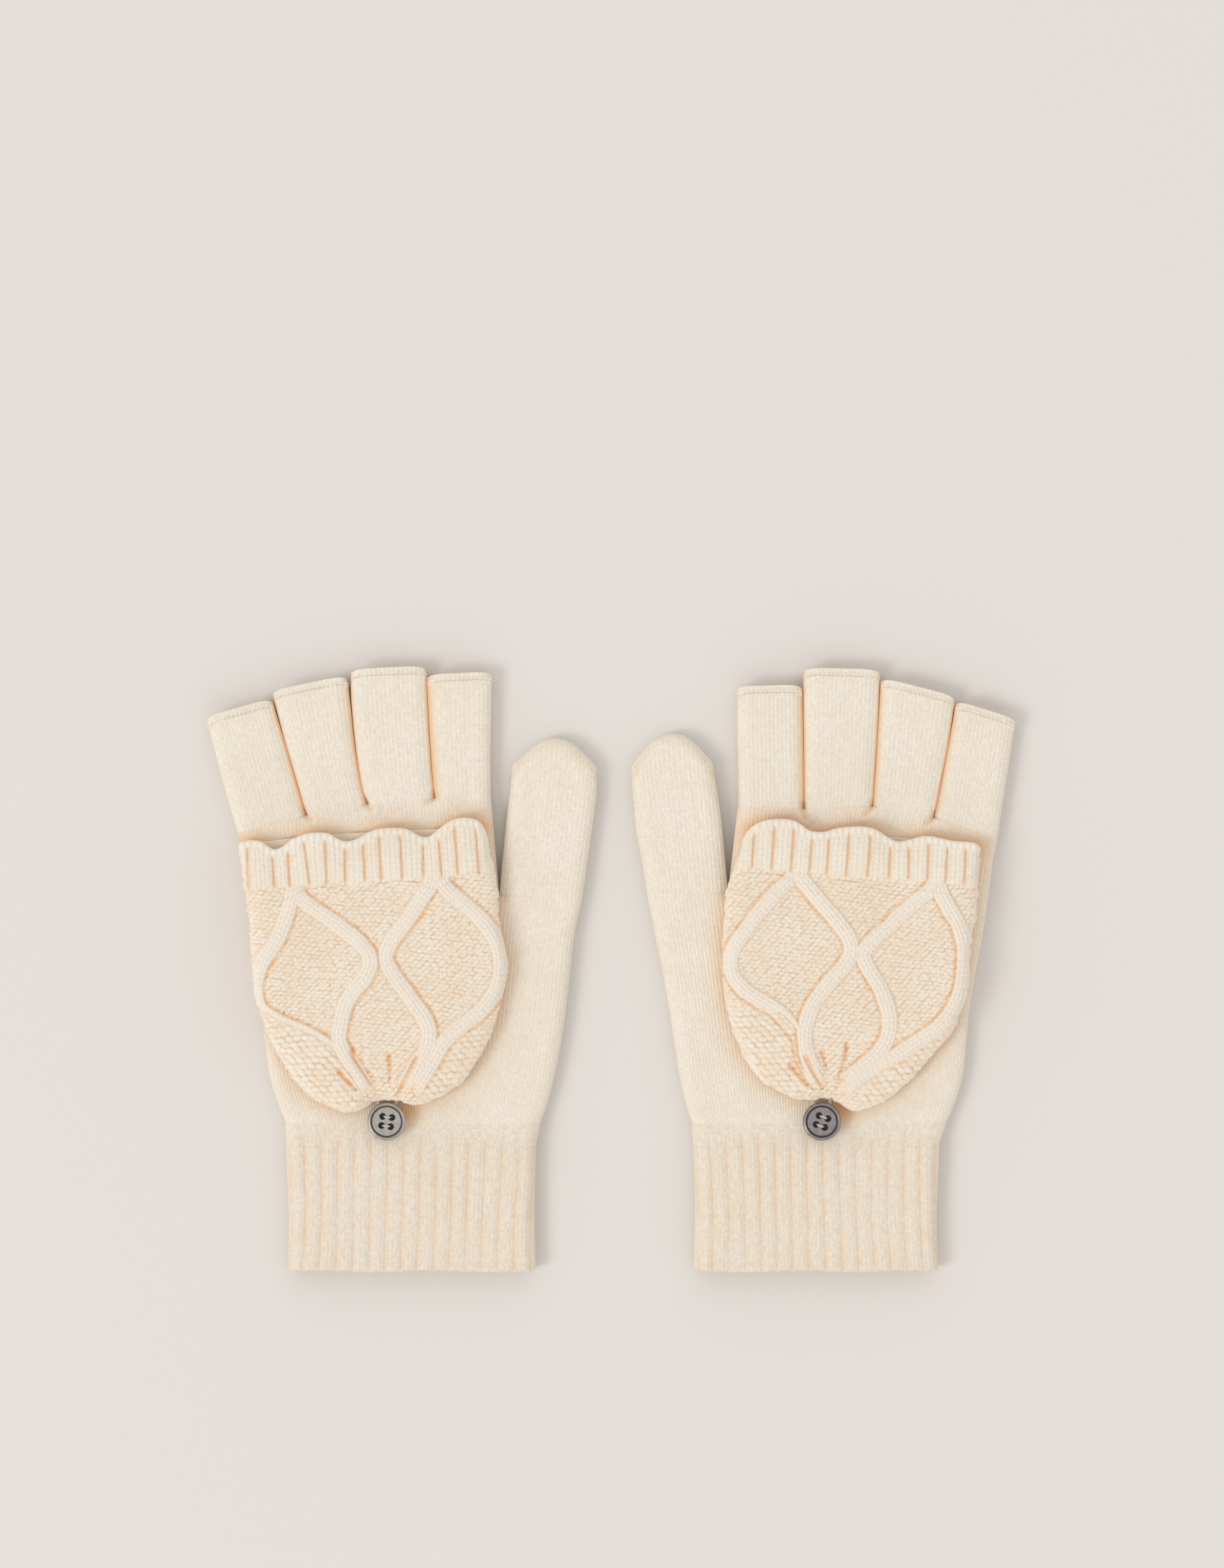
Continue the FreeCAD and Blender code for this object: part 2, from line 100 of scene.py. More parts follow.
# ---- each glove's outlines, in its own plan ----
GLOVES = {
    "left": dict(
        outer=[(-34.2, -58), (-35.3, -52.5), (-37.5, -47), (-40.6, -37.2), (-42.4, -25), (-43.6, -12.7),
               (-45.7, 0), (-47.4, 11.8), (-48.3, 24), (-49.2, 36.3), (-51.6, 46)],
        gusset=[(50.0, -58), (51.6, -52.5), (53.6, -47), (56.2, -37.2), (58.6, -25), (60.4, -12.7),
                (61.8, 0), (63.2, 11.8), (65.4, 24)],
        crotches=[(-28.2, 52.4), (-7.4, 56.2), (15.5, 58.2)],
        index_side=(34.8, 57.6),
        thumb_crotch=(37.5, 25.4),
        little=[(-51.6, 46), (-54.6, 56), (-58.4, 70), (-62.0, 84.2)],
        little_in=[(-28.2, 52.4), (-31.6, 64), (-35.7, 78), (-39.6, 90.6)],
        ring=[(-28.2, 52.4), (-31.5, 64), (-35.6, 78), (-39.5, 93.2)],
        ring_in=[(-7.4, 56.2), (-9.4, 63), (-11.6, 76), (-13.1, 90), (-14.2, 98.4)],
        middle=[(-7.4, 56.2), (-9.3, 62), (-11.4, 76), (-12.7, 90), (-13.0, 100.4)],
        middle_in=[(15.5, 58.2), (14.4, 70), (13.4, 86), (12.7, 101.6)],
        index=[(15.5, 58.2), (14.5, 70), (13.5, 86), (12.9, 98.6)],
        index_in=[(34.8, 57.6), (34.6, 70), (34.8, 84), (35.0, 99.6)],
        thumb=[(37.5, 25.4), (38.6, 38), (40.0, 51), (41.3, 62), (41.8, 68.2)],
        thumb_in=[(65.8, 24.0), (67.6, 36.3), (69.6, 51), (70.7, 60), (70.7, 66.8)],
        thumb_tip=[(41.8, 68.2), (42.3, 69.7), (44.6, 71.7), (48.9, 75.2), (52.2, 77.4), (55.6, 78.3),
                   (59.3, 77.9), (63.2, 76.0), (67.3, 72.1), (70.2, 68.9), (70.7, 66.8)],
        creases=[[(-28.9, 54.6), (-28.0, 52.0), (-26.2, 50.6)], [(-7.9, 58.2), (-7.0, 55.4), (-5.6, 54.2)],
                 [(15.4, 60.2), (15.0, 57.4), (12.6, 56.4)]],
        rim=[(-50.9, 42.4), (-48, 43.6), (-43.2, 43.4), (-40.6, 41.7), (-38.3, 40.6), (-35.5, 41.6), (-32.6, 43.9),
             (-28.4, 45.7), (-24.2, 46.3), (-20.1, 46.0), (-17.7, 44.6), (-15.3, 43.5), (-12.4, 43.5), (-9.4, 44.7),
             (-6.4, 46.5), (-2.9, 47.6), (1.9, 47.9), (6, 47.6), (9, 46.2), (11.4, 44.9), (13.8, 44.9), (16.1, 46.5),
             (19.7, 49.4), (23.3, 51.0), (26.8, 51.3), (30.4, 50.4), (32.6, 48.1)],
        cap_outer=[(-50.9, 42.4), (-49.8, 34.3), (-47.6, 19.9), (-46.6, 8), (-46.2, 1.2), (-45.1, -8.9),
                   (-42.9, -16), (-39.7, -24.7), (-35.7, -31.9), (-30.7, -39.1), (-26.4, -43.6)],
        cap_tip=[(-26.4, -43.6), (-19.2, -47), (-13.5, -48.6), (-9.1, -47.6), (-5.2, -45.2), (0.2, -44.4),
                 (5.4, -45.2), (9.6, -46.0), (13.9, -45.0), (19.6, -42.4)],
        cap_thumb=[(32.6, 48.1), (34.0, 44), (34.8, 38), (36.5, 33.6), (37.3, 27.1), (37.7, 18.5), (39.2, 9.8),
                   (40.7, 2.7), (40.2, -3.8), (38.4, -11), (36.9, -16.8), (34, -24.7), (29.7, -31.9), (25.4, -38.1),
                   (19.6, -42.4)],
        band=(29.3, 0.065),
        valleys=[(-47.4, -46.8), (-39.4, -37.9), (-34.0, -32.7), (-28.4, -26.0), (-21.0, -20.3), (-14.4, -14.1),
                 (-8.2, -7.4), (-2.9, -1.7), (4.3, 5.2), (12.0, 12.3), (17.0, 18.6), (22.8, 24.0), (29.8, 31.2)],
        strands=[
            [(-31.6, 30), (-31.8, 25.7), (-34.3, 17), (-37.9, 9.1), (-42.0, 2.7), (-44.0, -2.6), (-44.4, -8),
             (-42.6, -13.6), (-35.7, -18.2), (-27.1, -21.8), (-19.2, -26.8), (-13.5, -33.3), (-8.6, -40.5)],
            [(-30.6, 30), (-30, 25.2), (-25.7, 21.3), (-19.2, 17), (-13.5, 12.7), (-9.1, 9.1), (-6.3, 5.4),
             (-5.8, 1.4), (-7.9, -3.1), (-12, -8.1), (-14.5, -13.2), (-16, -19.6), (-16.2, -24.7), (-13.5, -29.7),
             (-9.7, -35), (-5.6, -42)],
            [(15.6, 34), (15.0, 29.3), (11.7, 24.2), (8.1, 18.5), (3.8, 12.7), (0.9, 8.4), (-0.5, 4.1), (1.6, -0.9),
             (5.2, -6), (8.8, -11), (12.4, -16), (14.2, -21.1), (13.2, -26.8), (9.6, -32.6), (4.8, -41)],
            [(16.2, 35), (16.9, 32.1), (20.3, 27.1), (25.4, 22.8), (30.4, 18.5), (34.7, 13.4), (37.4, 8.4),
             (38.5, 2.7), (38.1, -3.8), (35.6, -8.9), (31.8, -13.9), (25.4, -18.9), (19.6, -23.9), (16.7, -28.3),
             (13.2, -34.7), (8.4, -42)],
        ],
        tip=(0.2, -45.5),
        puffed=0, puffed_side=-1,
        gathers=[[(-11.9, -25.6), (-11.2, -30), (-5.6, -38.6)], [(0.4, -27.4), (0.9, -34), (0.6, -38)],
                 [(10.4, -28.4), (7.0, -35.4), (3.2, -42.6)], [(-17.4, -33.5), (-10.6, -40.6)]],
        slant=1,
        button=(-0.4, -51.6),
    ),
    "right": dict(
        outer=[(-32.6, -58), (-35.6, -52.5), (-38.2, -47), (-41.2, -37.2), (-42.6, -25), (-43.8, -12.7),
               (-46.0, 0), (-48.2, 11.8), (-50.0, 24), (-51.6, 36.3), (-53.2, 44)],
        gusset=[(50.0, -58), (51.0, -52.5), (52.7, -47), (55.1, -37.2), (57.0, -25), (58.9, -12.7),
                (61.2, 0), (63.6, 11.8), (66.0, 24)],
        crotches=[(-31.6, 51.6), (-10.6, 55.4), (12.8, 54.6)],
        index_side=(35.2, 55.6),
        thumb_crotch=(38.6, 26.4),
        little=[(-53.2, 44), (-55.0, 56), (-57.2, 70), (-59.2, 83.4)],
        little_in=[(-31.6, 51.6), (-34.1, 64), (-36.7, 78), (-38.8, 89.8)],
        ring=[(-31.6, 51.6), (-34.0, 64), (-36.6, 78), (-38.5, 91.2)],
        ring_in=[(-10.6, 55.4), (-11.5, 67), (-12.5, 84), (-13.3, 97.6)],
        middle=[(-10.6, 55.4), (-11.4, 67), (-12.4, 84), (-13.1, 100.3)],
        middle_in=[(12.8, 54.6), (12.7, 60), (12.8, 74), (13.0, 90), (13.0, 101)],
        index=[(12.8, 54.6), (12.8, 66), (13.0, 80), (13.3, 95.1)],
        index_in=[(35.2, 55.6), (35.3, 68), (35.6, 82), (35.5, 94.7)],
        thumb=[(38.6, 26.4), (39.6, 38), (41.0, 52), (42.6, 62), (43.7, 68.6)],
        thumb_in=[(66.2, 25.0), (67.9, 36.3), (69.8, 46.1), (71.1, 60), (71.6, 67.4)],
        thumb_tip=[(43.7, 68.6), (43.9, 69.9), (45.9, 72.4), (49.6, 76.4), (52.6, 78.7), (56.0, 79.8),
                   (59.8, 79.5), (64.0, 77.4), (68.2, 73.2), (71.0, 69.5), (71.6, 67.4)],
        creases=[[(-31.6, 53), (-30.6, 50.4), (-28.6, 49.4)], [(-10.6, 57), (-9.6, 53.8), (-7.8, 52.4)],
                 [(12.8, 56), (13.0, 53.0), (12.4, 51.0)]],
        rim=[(-46.9, 41.4), (-44, 42.9), (-37.9, 43.4), (-33.5, 44.3), (-29.6, 45.1), (-25.7, 44.8), (-21.8, 43.7),
             (-18.5, 43.3), (-15.2, 44.8), (-12.4, 46.7), (-9.6, 47.9), (-5.2, 48.4), (-0.2, 48.1), (3.1, 47.5),
             (5.3, 46.7), (8.1, 46.5), (11.4, 47.1), (13.7, 48.8), (16.4, 50.3), (20.3, 50.9), (24.7, 50.7),
             (28.6, 49.6), (31.6, 47.6)],
        cap_outer=[(-46.9, 41.4), (-46.5, 33.8), (-46.0, 26.5), (-45.2, 17.7), (-43.9, 10.3), (-43.2, 4.5),
                   (-43, -2.9), (-41.9, -8.8), (-40, -14.6), (-37.5, -20.5), (-33.4, -25.9), (-28.3, -31.8),
                   (-23.1, -37.6), (-17.3, -42.7)],
        cap_tip=[(-17.3, -42.7), (-11.4, -46.2), (-4.1, -48.0), (-1.2, -47.0), (1.4, -45.2), (4.6, -44.0),
                 (7.6, -43.8), (9.9, -44.4), (15, -44), (20.9, -41.8)],
        cap_thumb=[(31.6, 47.6), (33.6, 44.6), (34.4, 40.6), (37.1, 33.8), (39.2, 28), (40, 21.3), (40.7, 11.8),
                   (41.0, 3), (40.7, -5.1), (39.6, -12.4), (38.2, -18.3), (36.3, -23.5), (34.1, -28.6),
                   (30.5, -34.5), (26.1, -38.9), (20.9, -41.8)],
        band=(31.0, 0.075),
        valleys=[(-41.8, -41.0), (-35.7, -34.6), (-29.3, -28.5), (-22.7, -22.1), (-16.4, -15.7), (-9.6, -8.3),
                 (-2.4, -1.0), (4.2, 5.6), (9.8, 11.4), (16.2, 17.6), (22.9, 24.1), (29.6, 30.8)],
        strands=[
            [(15.8, 36), (16.6, 32), (19.4, 29.0), (23.9, 24.3), (29, 18.4), (33.4, 12.5), (36.7, 7.4), (37.9, 3),
             (36.9, -2.2), (33.4, -6.6), (28.3, -10.2), (22.4, -13.9), (18, -18.3), (14.7, -23.5), (13.4, -28.6),
             (10.4, -35), (6.6, -40)],
            [(14.2, 36), (14.4, 31.6), (10.6, 26.5), (6.2, 21.3), (1.8, 16.2), (-1.9, 11.1), (-3.1, 6.2),
             (-1.1, 1.9), (2.6, -2.2), (6.2, -6.6), (9.9, -11.7), (12.1, -17.6), (12.9, -23.5), (11.6, -30),
             (7.8, -37)],
            [(-31.4, 32), (-29.8, 27.2), (-25.4, 23.5), (-20.2, 19.1), (-15.8, 14.7), (-11.4, 11.1), (-8.2, 7.6),
             (-6.9, 4.8), (-8.9, 0), (-12.1, -5.1), (-14.3, -10.2), (-15.8, -16.1), (-15.4, -22), (-12.6, -27.6),
             (-6.4, -33), (0.6, -39)],
            [(-32.2, 31), (-32.9, 26.5), (-35.6, 21.3), (-38.9, 15.5), (-40.9, 10.3), (-41.3, 4.5), (-40.9, -2.2),
             (-39.4, -8.8), (-36.5, -14.6), (-32, -19.8), (-25.4, -24.2), (-18.7, -28.6), (-12.9, -31.5),
             (-7, -35.2), (-2.6, -38.9), (1.0, -42.2)],
        ],
        tip=(4.6, -44.6),
        puffed=0, puffed_side=1,
        gathers=[[(13.0, -28.2), (10.4, -34.0), (6.8, -40.2)], [(-1.4, -24.0), (-0.8, -29.6), (1.4, -36.0)],
                 [(7.4, -26.5), (5.6, -33.0)], [(18.6, -31.0), (11.6, -39.6)]],
        slant=-1,
        button=(7.0, -51.6),
    ),
}
DIGITS = ("little", "ring", "middle", "index")


# ---- lines and random values ----
NOISE_CELLS = 61                     # how many values a table of noise has each way before it repeats


def smooth_line(points, step=0.8):
    """A smooth line through points, as points about step apart."""
    p = np.array(points, float)
    ends = np.vstack([2 * p[0] - p[1], p, 2 * p[-1] - p[-2]])
    out = []
    for a, b, c, d in zip(ends, ends[1:], ends[2:], ends[3:]):
        t = np.linspace(0, 1, max(2, int(np.linalg.norm(c - b) / step) + 1), endpoint=False)[:, None]
        out.append(b + 0.5 * t * (c - a + t * (2 * a - 5 * b + 4 * c - d + t * (3 * b - a - 3 * c + d))))
    return np.vstack(out + [p[-1:]])


def run_of(line):
    """How far along a line each of its points is."""
    return np.concatenate([[0], np.cumsum(np.linalg.norm(np.diff(line, axis=0), axis=1))])


def length_of(line):
    """A line's whole length."""
    return np.linalg.norm(np.diff(line, axis=0), axis=1).sum()


def spaced(line, count):
    """count points evenly along a line."""
    line = np.asarray(line, float)
    run = run_of(line)
    at = np.linspace(0, run[-1], count)
    return np.stack([np.interp(at, run, line[:, k]) for k in range(line.shape[1])], 1)


def nearest(points, line):
    """How far points are from a line, how far along it the nearest place is, and on which side they are."""
    flat = points.reshape(-1, 2)
    best = np.full(len(flat), 1e9)
    along, side = np.zeros(len(flat)), np.zeros(len(flat))
    start = 0.0
    for a, b in zip(line, line[1:]):
        ab = b - a
        length = math.hypot(*ab)
        if length < 1e-9:
            continue
        ap = flat - a
        t = np.clip(ap @ ab / length ** 2, 0, 1)
        gap = np.hypot(ap[:, 0] - t * ab[0], ap[:, 1] - t * ab[1])
        closer = gap < best
        best[closer] = gap[closer]
        along[closer] = (start + t * length)[closer]
        side[closer] = np.sign(ab[0] * ap[:, 1] - ab[1] * ap[:, 0])[closer]
        start += length
    shape = points.shape[:-1]
    return best.reshape(shape), along.reshape(shape), side.reshape(shape)


def noise(u, v, size, seed):
    """Smooth random values from -1 to 1 that change over about size."""
    n = NOISE_CELLS
    table = np.random.RandomState(seed).uniform(-1, 1, (n, n))
    x, y = u / size, v / size
    i, j = np.floor(x).astype(int), np.floor(y).astype(int)
    fx, fy = x - i, y - j
    fx, fy = fx * fx * (3 - 2 * fx), fy * fy * (3 - 2 * fy)
    low = table[i % n, j % n] * (1 - fx) + table[(i + 1) % n, j % n] * fx
    high = table[i % n, (j + 1) % n] * (1 - fx) + table[(i + 1) % n, (j + 1) % n] * fx
    return low * (1 - fy) + high * fy


def ragged(line, amount, size, seed):
    """The same line, moved a little to either side."""
    run = run_of(line)
    ahead = np.gradient(line, axis=0)
    across = np.column_stack([-ahead[:, 1], ahead[:, 0]]) / np.linalg.norm(ahead, axis=1)[:, None]
    move = amount * noise(run, run * 0, size, seed) * ease(run / 4) * ease((run[-1] - run) / 4)
    return line + across * move[:, None]


def ease(x):
    """From 0 to 1 as x goes from 0 to 1, slowly at both ends."""
    x = np.clip(x, 0, 1)
    return x * x * (3 - 2 * x)


def dome(d, reach):
    """From 0 at a folded side to 1 at reach from it, as a quarter of an ellipse."""
    return np.sqrt(np.clip(1 - (1 - np.clip(d, 0, reach) / reach) ** 2, 0, 1))


def tick(x):
    """The part of x after its whole number, from -0.5 to 0.5."""
    return x - np.floor(x) - 0.5


def patch(bottom, top, left, right):
    """A four-sided plan: rows from bottom to top, each from left to right, from its four border lines."""
    s = np.linspace(0, 1, len(bottom))[None, :, None]
    t = np.linspace(0, 1, len(left))[:, None, None]
    sides = left[:, None] * (1 - s) + right[:, None] * s
    ends = bottom[None] * (1 - t) + top[None] * t
    corners = ((bottom[0] * (1 - s) + bottom[-1] * s) * (1 - t) + (top[0] * (1 - s) + top[-1] * s) * t)
    return sides + ends - corners


def raised(plan, z):
    """Points of a plan, with their heights."""
    return np.concatenate([plan, z[..., None]], -1)


# ---- meshes ----
class Fabric:
    """Gathers rows of points into one closed mesh, with where each point is in the knit and how much painted tan
    shade it has.
    """

    def __init__(self):
        self.points, self.knit, self.warm, self.faces = [], [], [], []
        self.count = 0

    def add(self, points, knit=None, warm=None):
        shape = points.shape[:-1]
        total = int(np.prod(shape))
        self.points.append(points.reshape(-1, 3))
        self.knit.append(np.zeros((total, 3)) if knit is None else knit.reshape(-1, 3))
        self.warm.append(np.zeros(total) if warm is None else np.broadcast_to(warm, shape).reshape(-1))
        index = np.arange(self.count, self.count + total).reshape(shape)
        self.count += total
        return index

    def weave(self, index, closed=False):
        """Four-sided faces between neighbouring rows and columns."""
        if closed:
            index = np.concatenate([index, index[:, :1]], 1)
        a, b = index[:-1, :-1], index[:-1, 1:]
        c, d = index[1:, 1:], index[1:, :-1]
        self.faces += np.stack([a, b, c, d], -1).reshape(-1, 4).tolist()

    def strip(self, *lines):
        """Faces between lines that run side by side with the same number of points."""
        self.weave(np.stack(lines))

    def zip(self, a, b):
        """Triangles between two lines that run side by side and may have different numbers of points."""
        i = j = 0
        m, n = len(a) - 1, len(b) - 1
        while i < m or j < n:
            if j == n or (i < m and (i + 1) * n <= (j + 1) * m):
                self.faces.append([int(a[i]), int(a[i + 1]), int(b[j])])
                i += 1
            else:
                self.faces.append([int(a[i]), int(b[j + 1]), int(b[j])])
                j += 1

    def build(self, name, side, material, weld=0.004, sharp=None):
        """The mesh object, in the row frame in metres, with each glove in its place."""
        p = np.vstack(self.points)
        mesh = bpy.data.meshes.new(name)
        mesh.from_pydata(place(side, p).tolist(), [], self.faces)
        knit = mesh.attributes.new("knit", "FLOAT_VECTOR", "POINT")
        knit.data.foreach_set("vector", np.vstack(self.knit).astype(np.float32).ravel())
        # painted shade attribute: how far the colour goes to the tan of painted shade, with an even tan tone on some
        # pieces
        warm = mesh.attributes.new("warm", "FLOAT", "POINT")
        warm.data.foreach_set("value", np.concatenate(self.warm).astype(np.float32))
        bm = bmesh.new()
        bm.from_mesh(mesh)
        bmesh.ops.remove_doubles(bm, verts=bm.verts, dist=weld * MM)
        bmesh.ops.dissolve_degenerate(bm, edges=bm.edges, dist=weld * MM * 0.2)
        bmesh.ops.recalc_face_normals(bm, faces=bm.faces)
        bm.to_mesh(mesh)
        bm.free()
        mesh.shade_smooth()
        if sharp:
            mesh.set_sharp_from_angle(angle=math.radians(sharp))
        obj = bpy.data.objects.new(name, mesh)
        bpy.context.scene.collection.objects.link(obj)
        mesh.materials.append(material)
        return obj


def place(side, p):
    """Points of a glove's plan, in millimetres, as points of the row frame, in metres."""
    cuff_low, cuff_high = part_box(side + "_cuff")
    p = np.asarray(p, float)
    if side == "left":
        x = cuff_low.x + (p[..., 0] - CUFF_OUTER_U) * MM
    else:
        x = cuff_high.x - (p[..., 0] - CUFF_OUTER_U) * MM
    y = cuff_low.y + (p[..., 1] - HEM_V) * MM
    return np.stack([x, y, p[..., 2] * MM], -1)


def sweep(fabric, path, radius, sides=8, warm=0.0):
    """A closed-ended tube of one radius, or one radius a point, along a path."""
    path = np.asarray(path, float)
    ahead = np.roll(path, -1, 0) - np.roll(path, 1, 0)
    ahead[0], ahead[-1] = path[1] - path[0], path[-1] - path[-2]
    ahead /= np.linalg.norm(ahead, axis=1)[:, None]
    normal = np.zeros_like(path)
    n = np.cross(ahead[0], [0.3, 0.2, 1.0])     # any direction that isn't the path's own
    for k, a in enumerate(ahead):
        n = n - a * (n @ a)
        n = n / np.linalg.norm(n)
        normal[k] = n
    other = np.cross(ahead, normal)
    radius = np.broadcast_to(np.asarray(radius, float), (len(path),))
    turn = np.linspace(0, 2 * math.pi, sides, endpoint=False)
    ring = normal[:, None] * np.cos(turn)[None, :, None] + other[:, None] * np.sin(turn)[None, :, None]
    points = path[:, None] + ring * radius[:, None, None]
    knit = np.zeros(points.shape)
    knit[..., 0] = turn[None] * radius.mean()
    knit[..., 1] = run_of(path)[:, None]
    index = fabric.add(points, knit, warm)
    for end in (0, -1):
        centre = int(fabric.add(path[end][None], np.zeros((1, 3)), np.array([warm]))[0])
        ring_index = np.append(index[end], index[end][0])
        fabric.faces += [[int(a), int(b), centre] for a, b in zip(ring_index, ring_index[1:])]
    fabric.weave(index, closed=True)


# ---- fine knit: the hand and its digits ----
def section_rows(plan, knots, columns, depth_of, pressed=None):
    """Evens out each row of a plan over its curved surface. knots are the dense columns that keep their place,
    columns how many mesh columns lie between them, and depth_of(points) gives the distance to a folded side.
    pressed(points) is how much of its height the knit has where it is pressed flat against its neighbour."""
    d = depth_of(plan)
    h = dome(d, SIDE_ROUND)
    if pressed is not None:
        h = h + pressed(plan) * (1 - h)
    lift = h * HAND_TOP / 2
    rows = []
    for r in range(len(plan)):
        solid = np.column_stack([plan[r], lift[r], d[r]])
        parts = []
        for k, count in enumerate(columns):
            piece = solid[knots[k]:knots[k + 1] + 1]
            run = run_of(piece[:, :3])
            at = np.linspace(0, max(run[-1], 1e-9), count + 1)
            line = np.stack([np.interp(at, run, piece[:, c]) for c in range(4)], 1)
            parts.append(line if k == 0 else line[1:])
        rows.append(np.vstack(parts))
    return np.array(rows)


def knit_layers(fabric, rows, first_column, depth_of, warm, flat=None):
    """Lays rows of (u, v, lift, depth) as the glove's upper and lower sides and its inside, and returns the three.
    flat(u, v) is how the upper side rises or sinks at pinched folds."""
    middle = HAND_TOP / 2
    column = np.arange(rows.shape[1]) + first_column
    u, v, lift, d = np.moveaxis(rows, -1, 0)
    ridge = WALE_RIDGE * np.cos(2 * math.pi * column / WALE_STEPS)[None] if COARSE == 1 else 0 * lift
    soft = (0.1 * noise(u, v, 13, 3) + 0.07 * noise(u, v, 5, 4)) * ease(d / 3.0)
    if flat is not None:
        soft = soft + flat(u, v)
    calm = ease((v - WRIST) / 4)         # level at the wrist, where the ribbing joins on
    soft, ridge = soft * calm, ridge * calm
    fade = ease(lift / 0.8)
    knit = np.stack([np.broadcast_to(column[None] / WALE_STEPS * WALE, u.shape), v, np.zeros_like(u)], -1)
    top = fabric.add(np.stack([u, v, middle + lift + (ridge + soft) * fade], -1), knit, warm)
    low = fabric.add(np.stack([u, v, middle - lift - (ridge * UNDERSIDE) * fade], -1), knit, warm * UNDERSIDE)
    fabric.weave(top)
    fabric.weave(low)
    # the inside, on fewer rows
    keep = sorted(set(list(range(0, len(rows), INSIDE_ROWS)) + [len(rows) - 1]))
    inside = rows[keep]
    centre = (inside[:, :1, :2] + inside[:, -1:, :2]) / 2
    width = np.linalg.norm(inside[:, -1:, :2] - inside[:, :1, :2], axis=-1, keepdims=True)
    plan = centre + (inside[..., :2] - centre) * (1 - 2 * FINE_WALL / width)
    deep = dome(depth_of(plan) - FINE_WALL, SIDE_ROUND) * (HAND_TOP / 2 - FINE_WALL)
    inner = []
    for sign in (1, -1):
        inner.append(fabric.add(raised(plan, middle + sign * deep), knit[keep], np.full(deep.shape, INSIDE_PAINTED_SHADE)))
        fabric.weave(inner[-1])
    return top, low, inner


def glove_lines(g):
    """The closed sides of a glove's fine knit, as lines in plan."""
    lines = {"outer": smooth_line(g["outer"][:-1] + g["little"]),
             "gusset": smooth_line(g["gusset"][:-1] + g["thumb_in"]),
             "index_side": smooth_line([g["thumb_crotch"], g["index_side"]] + g["index_in"][1:]),
             "thumb_side": smooth_line(g["thumb"]),
             "thumb_inner": smooth_line(g["thumb_in"]),
             "thumb_tip": smooth_line(g["thumb_tip"], 0.5),
             "creases": [smooth_line(c, 0.4) for c in g["creases"]]}
    for name in DIGITS:
        lines[name] = smooth_line(g[name])
        lines[name + "_in"] = smooth_line(g[name + "_in"])
    return lines


def hooks(creases):
    """The small pinched folds where two fingers part."""
    def pinch(u, v):
        gap = np.min([nearest(np.stack([u, v], -1), c)[0] for c in creases], axis=0)
        return -0.45 * np.exp(-(gap / 0.6) ** 2) + 0.35 * np.exp(-((gap - 1.9) / 0.8) ** 2)
    return pinch


def depth_to(*lines):
    def depth(points):
        return np.min([nearest(points, line)[0] for line in lines], axis=0)
    return depth


def side_point(line, v):
    """The place where a side line crosses a height v."""
    return np.array([np.interp(v, line[:, 1], line[:, 0]), v])


THUMB_COLUMNS_WIDTH = 21.0           # how far in from the gusset the thumb's columns of stitches begin at the wrist


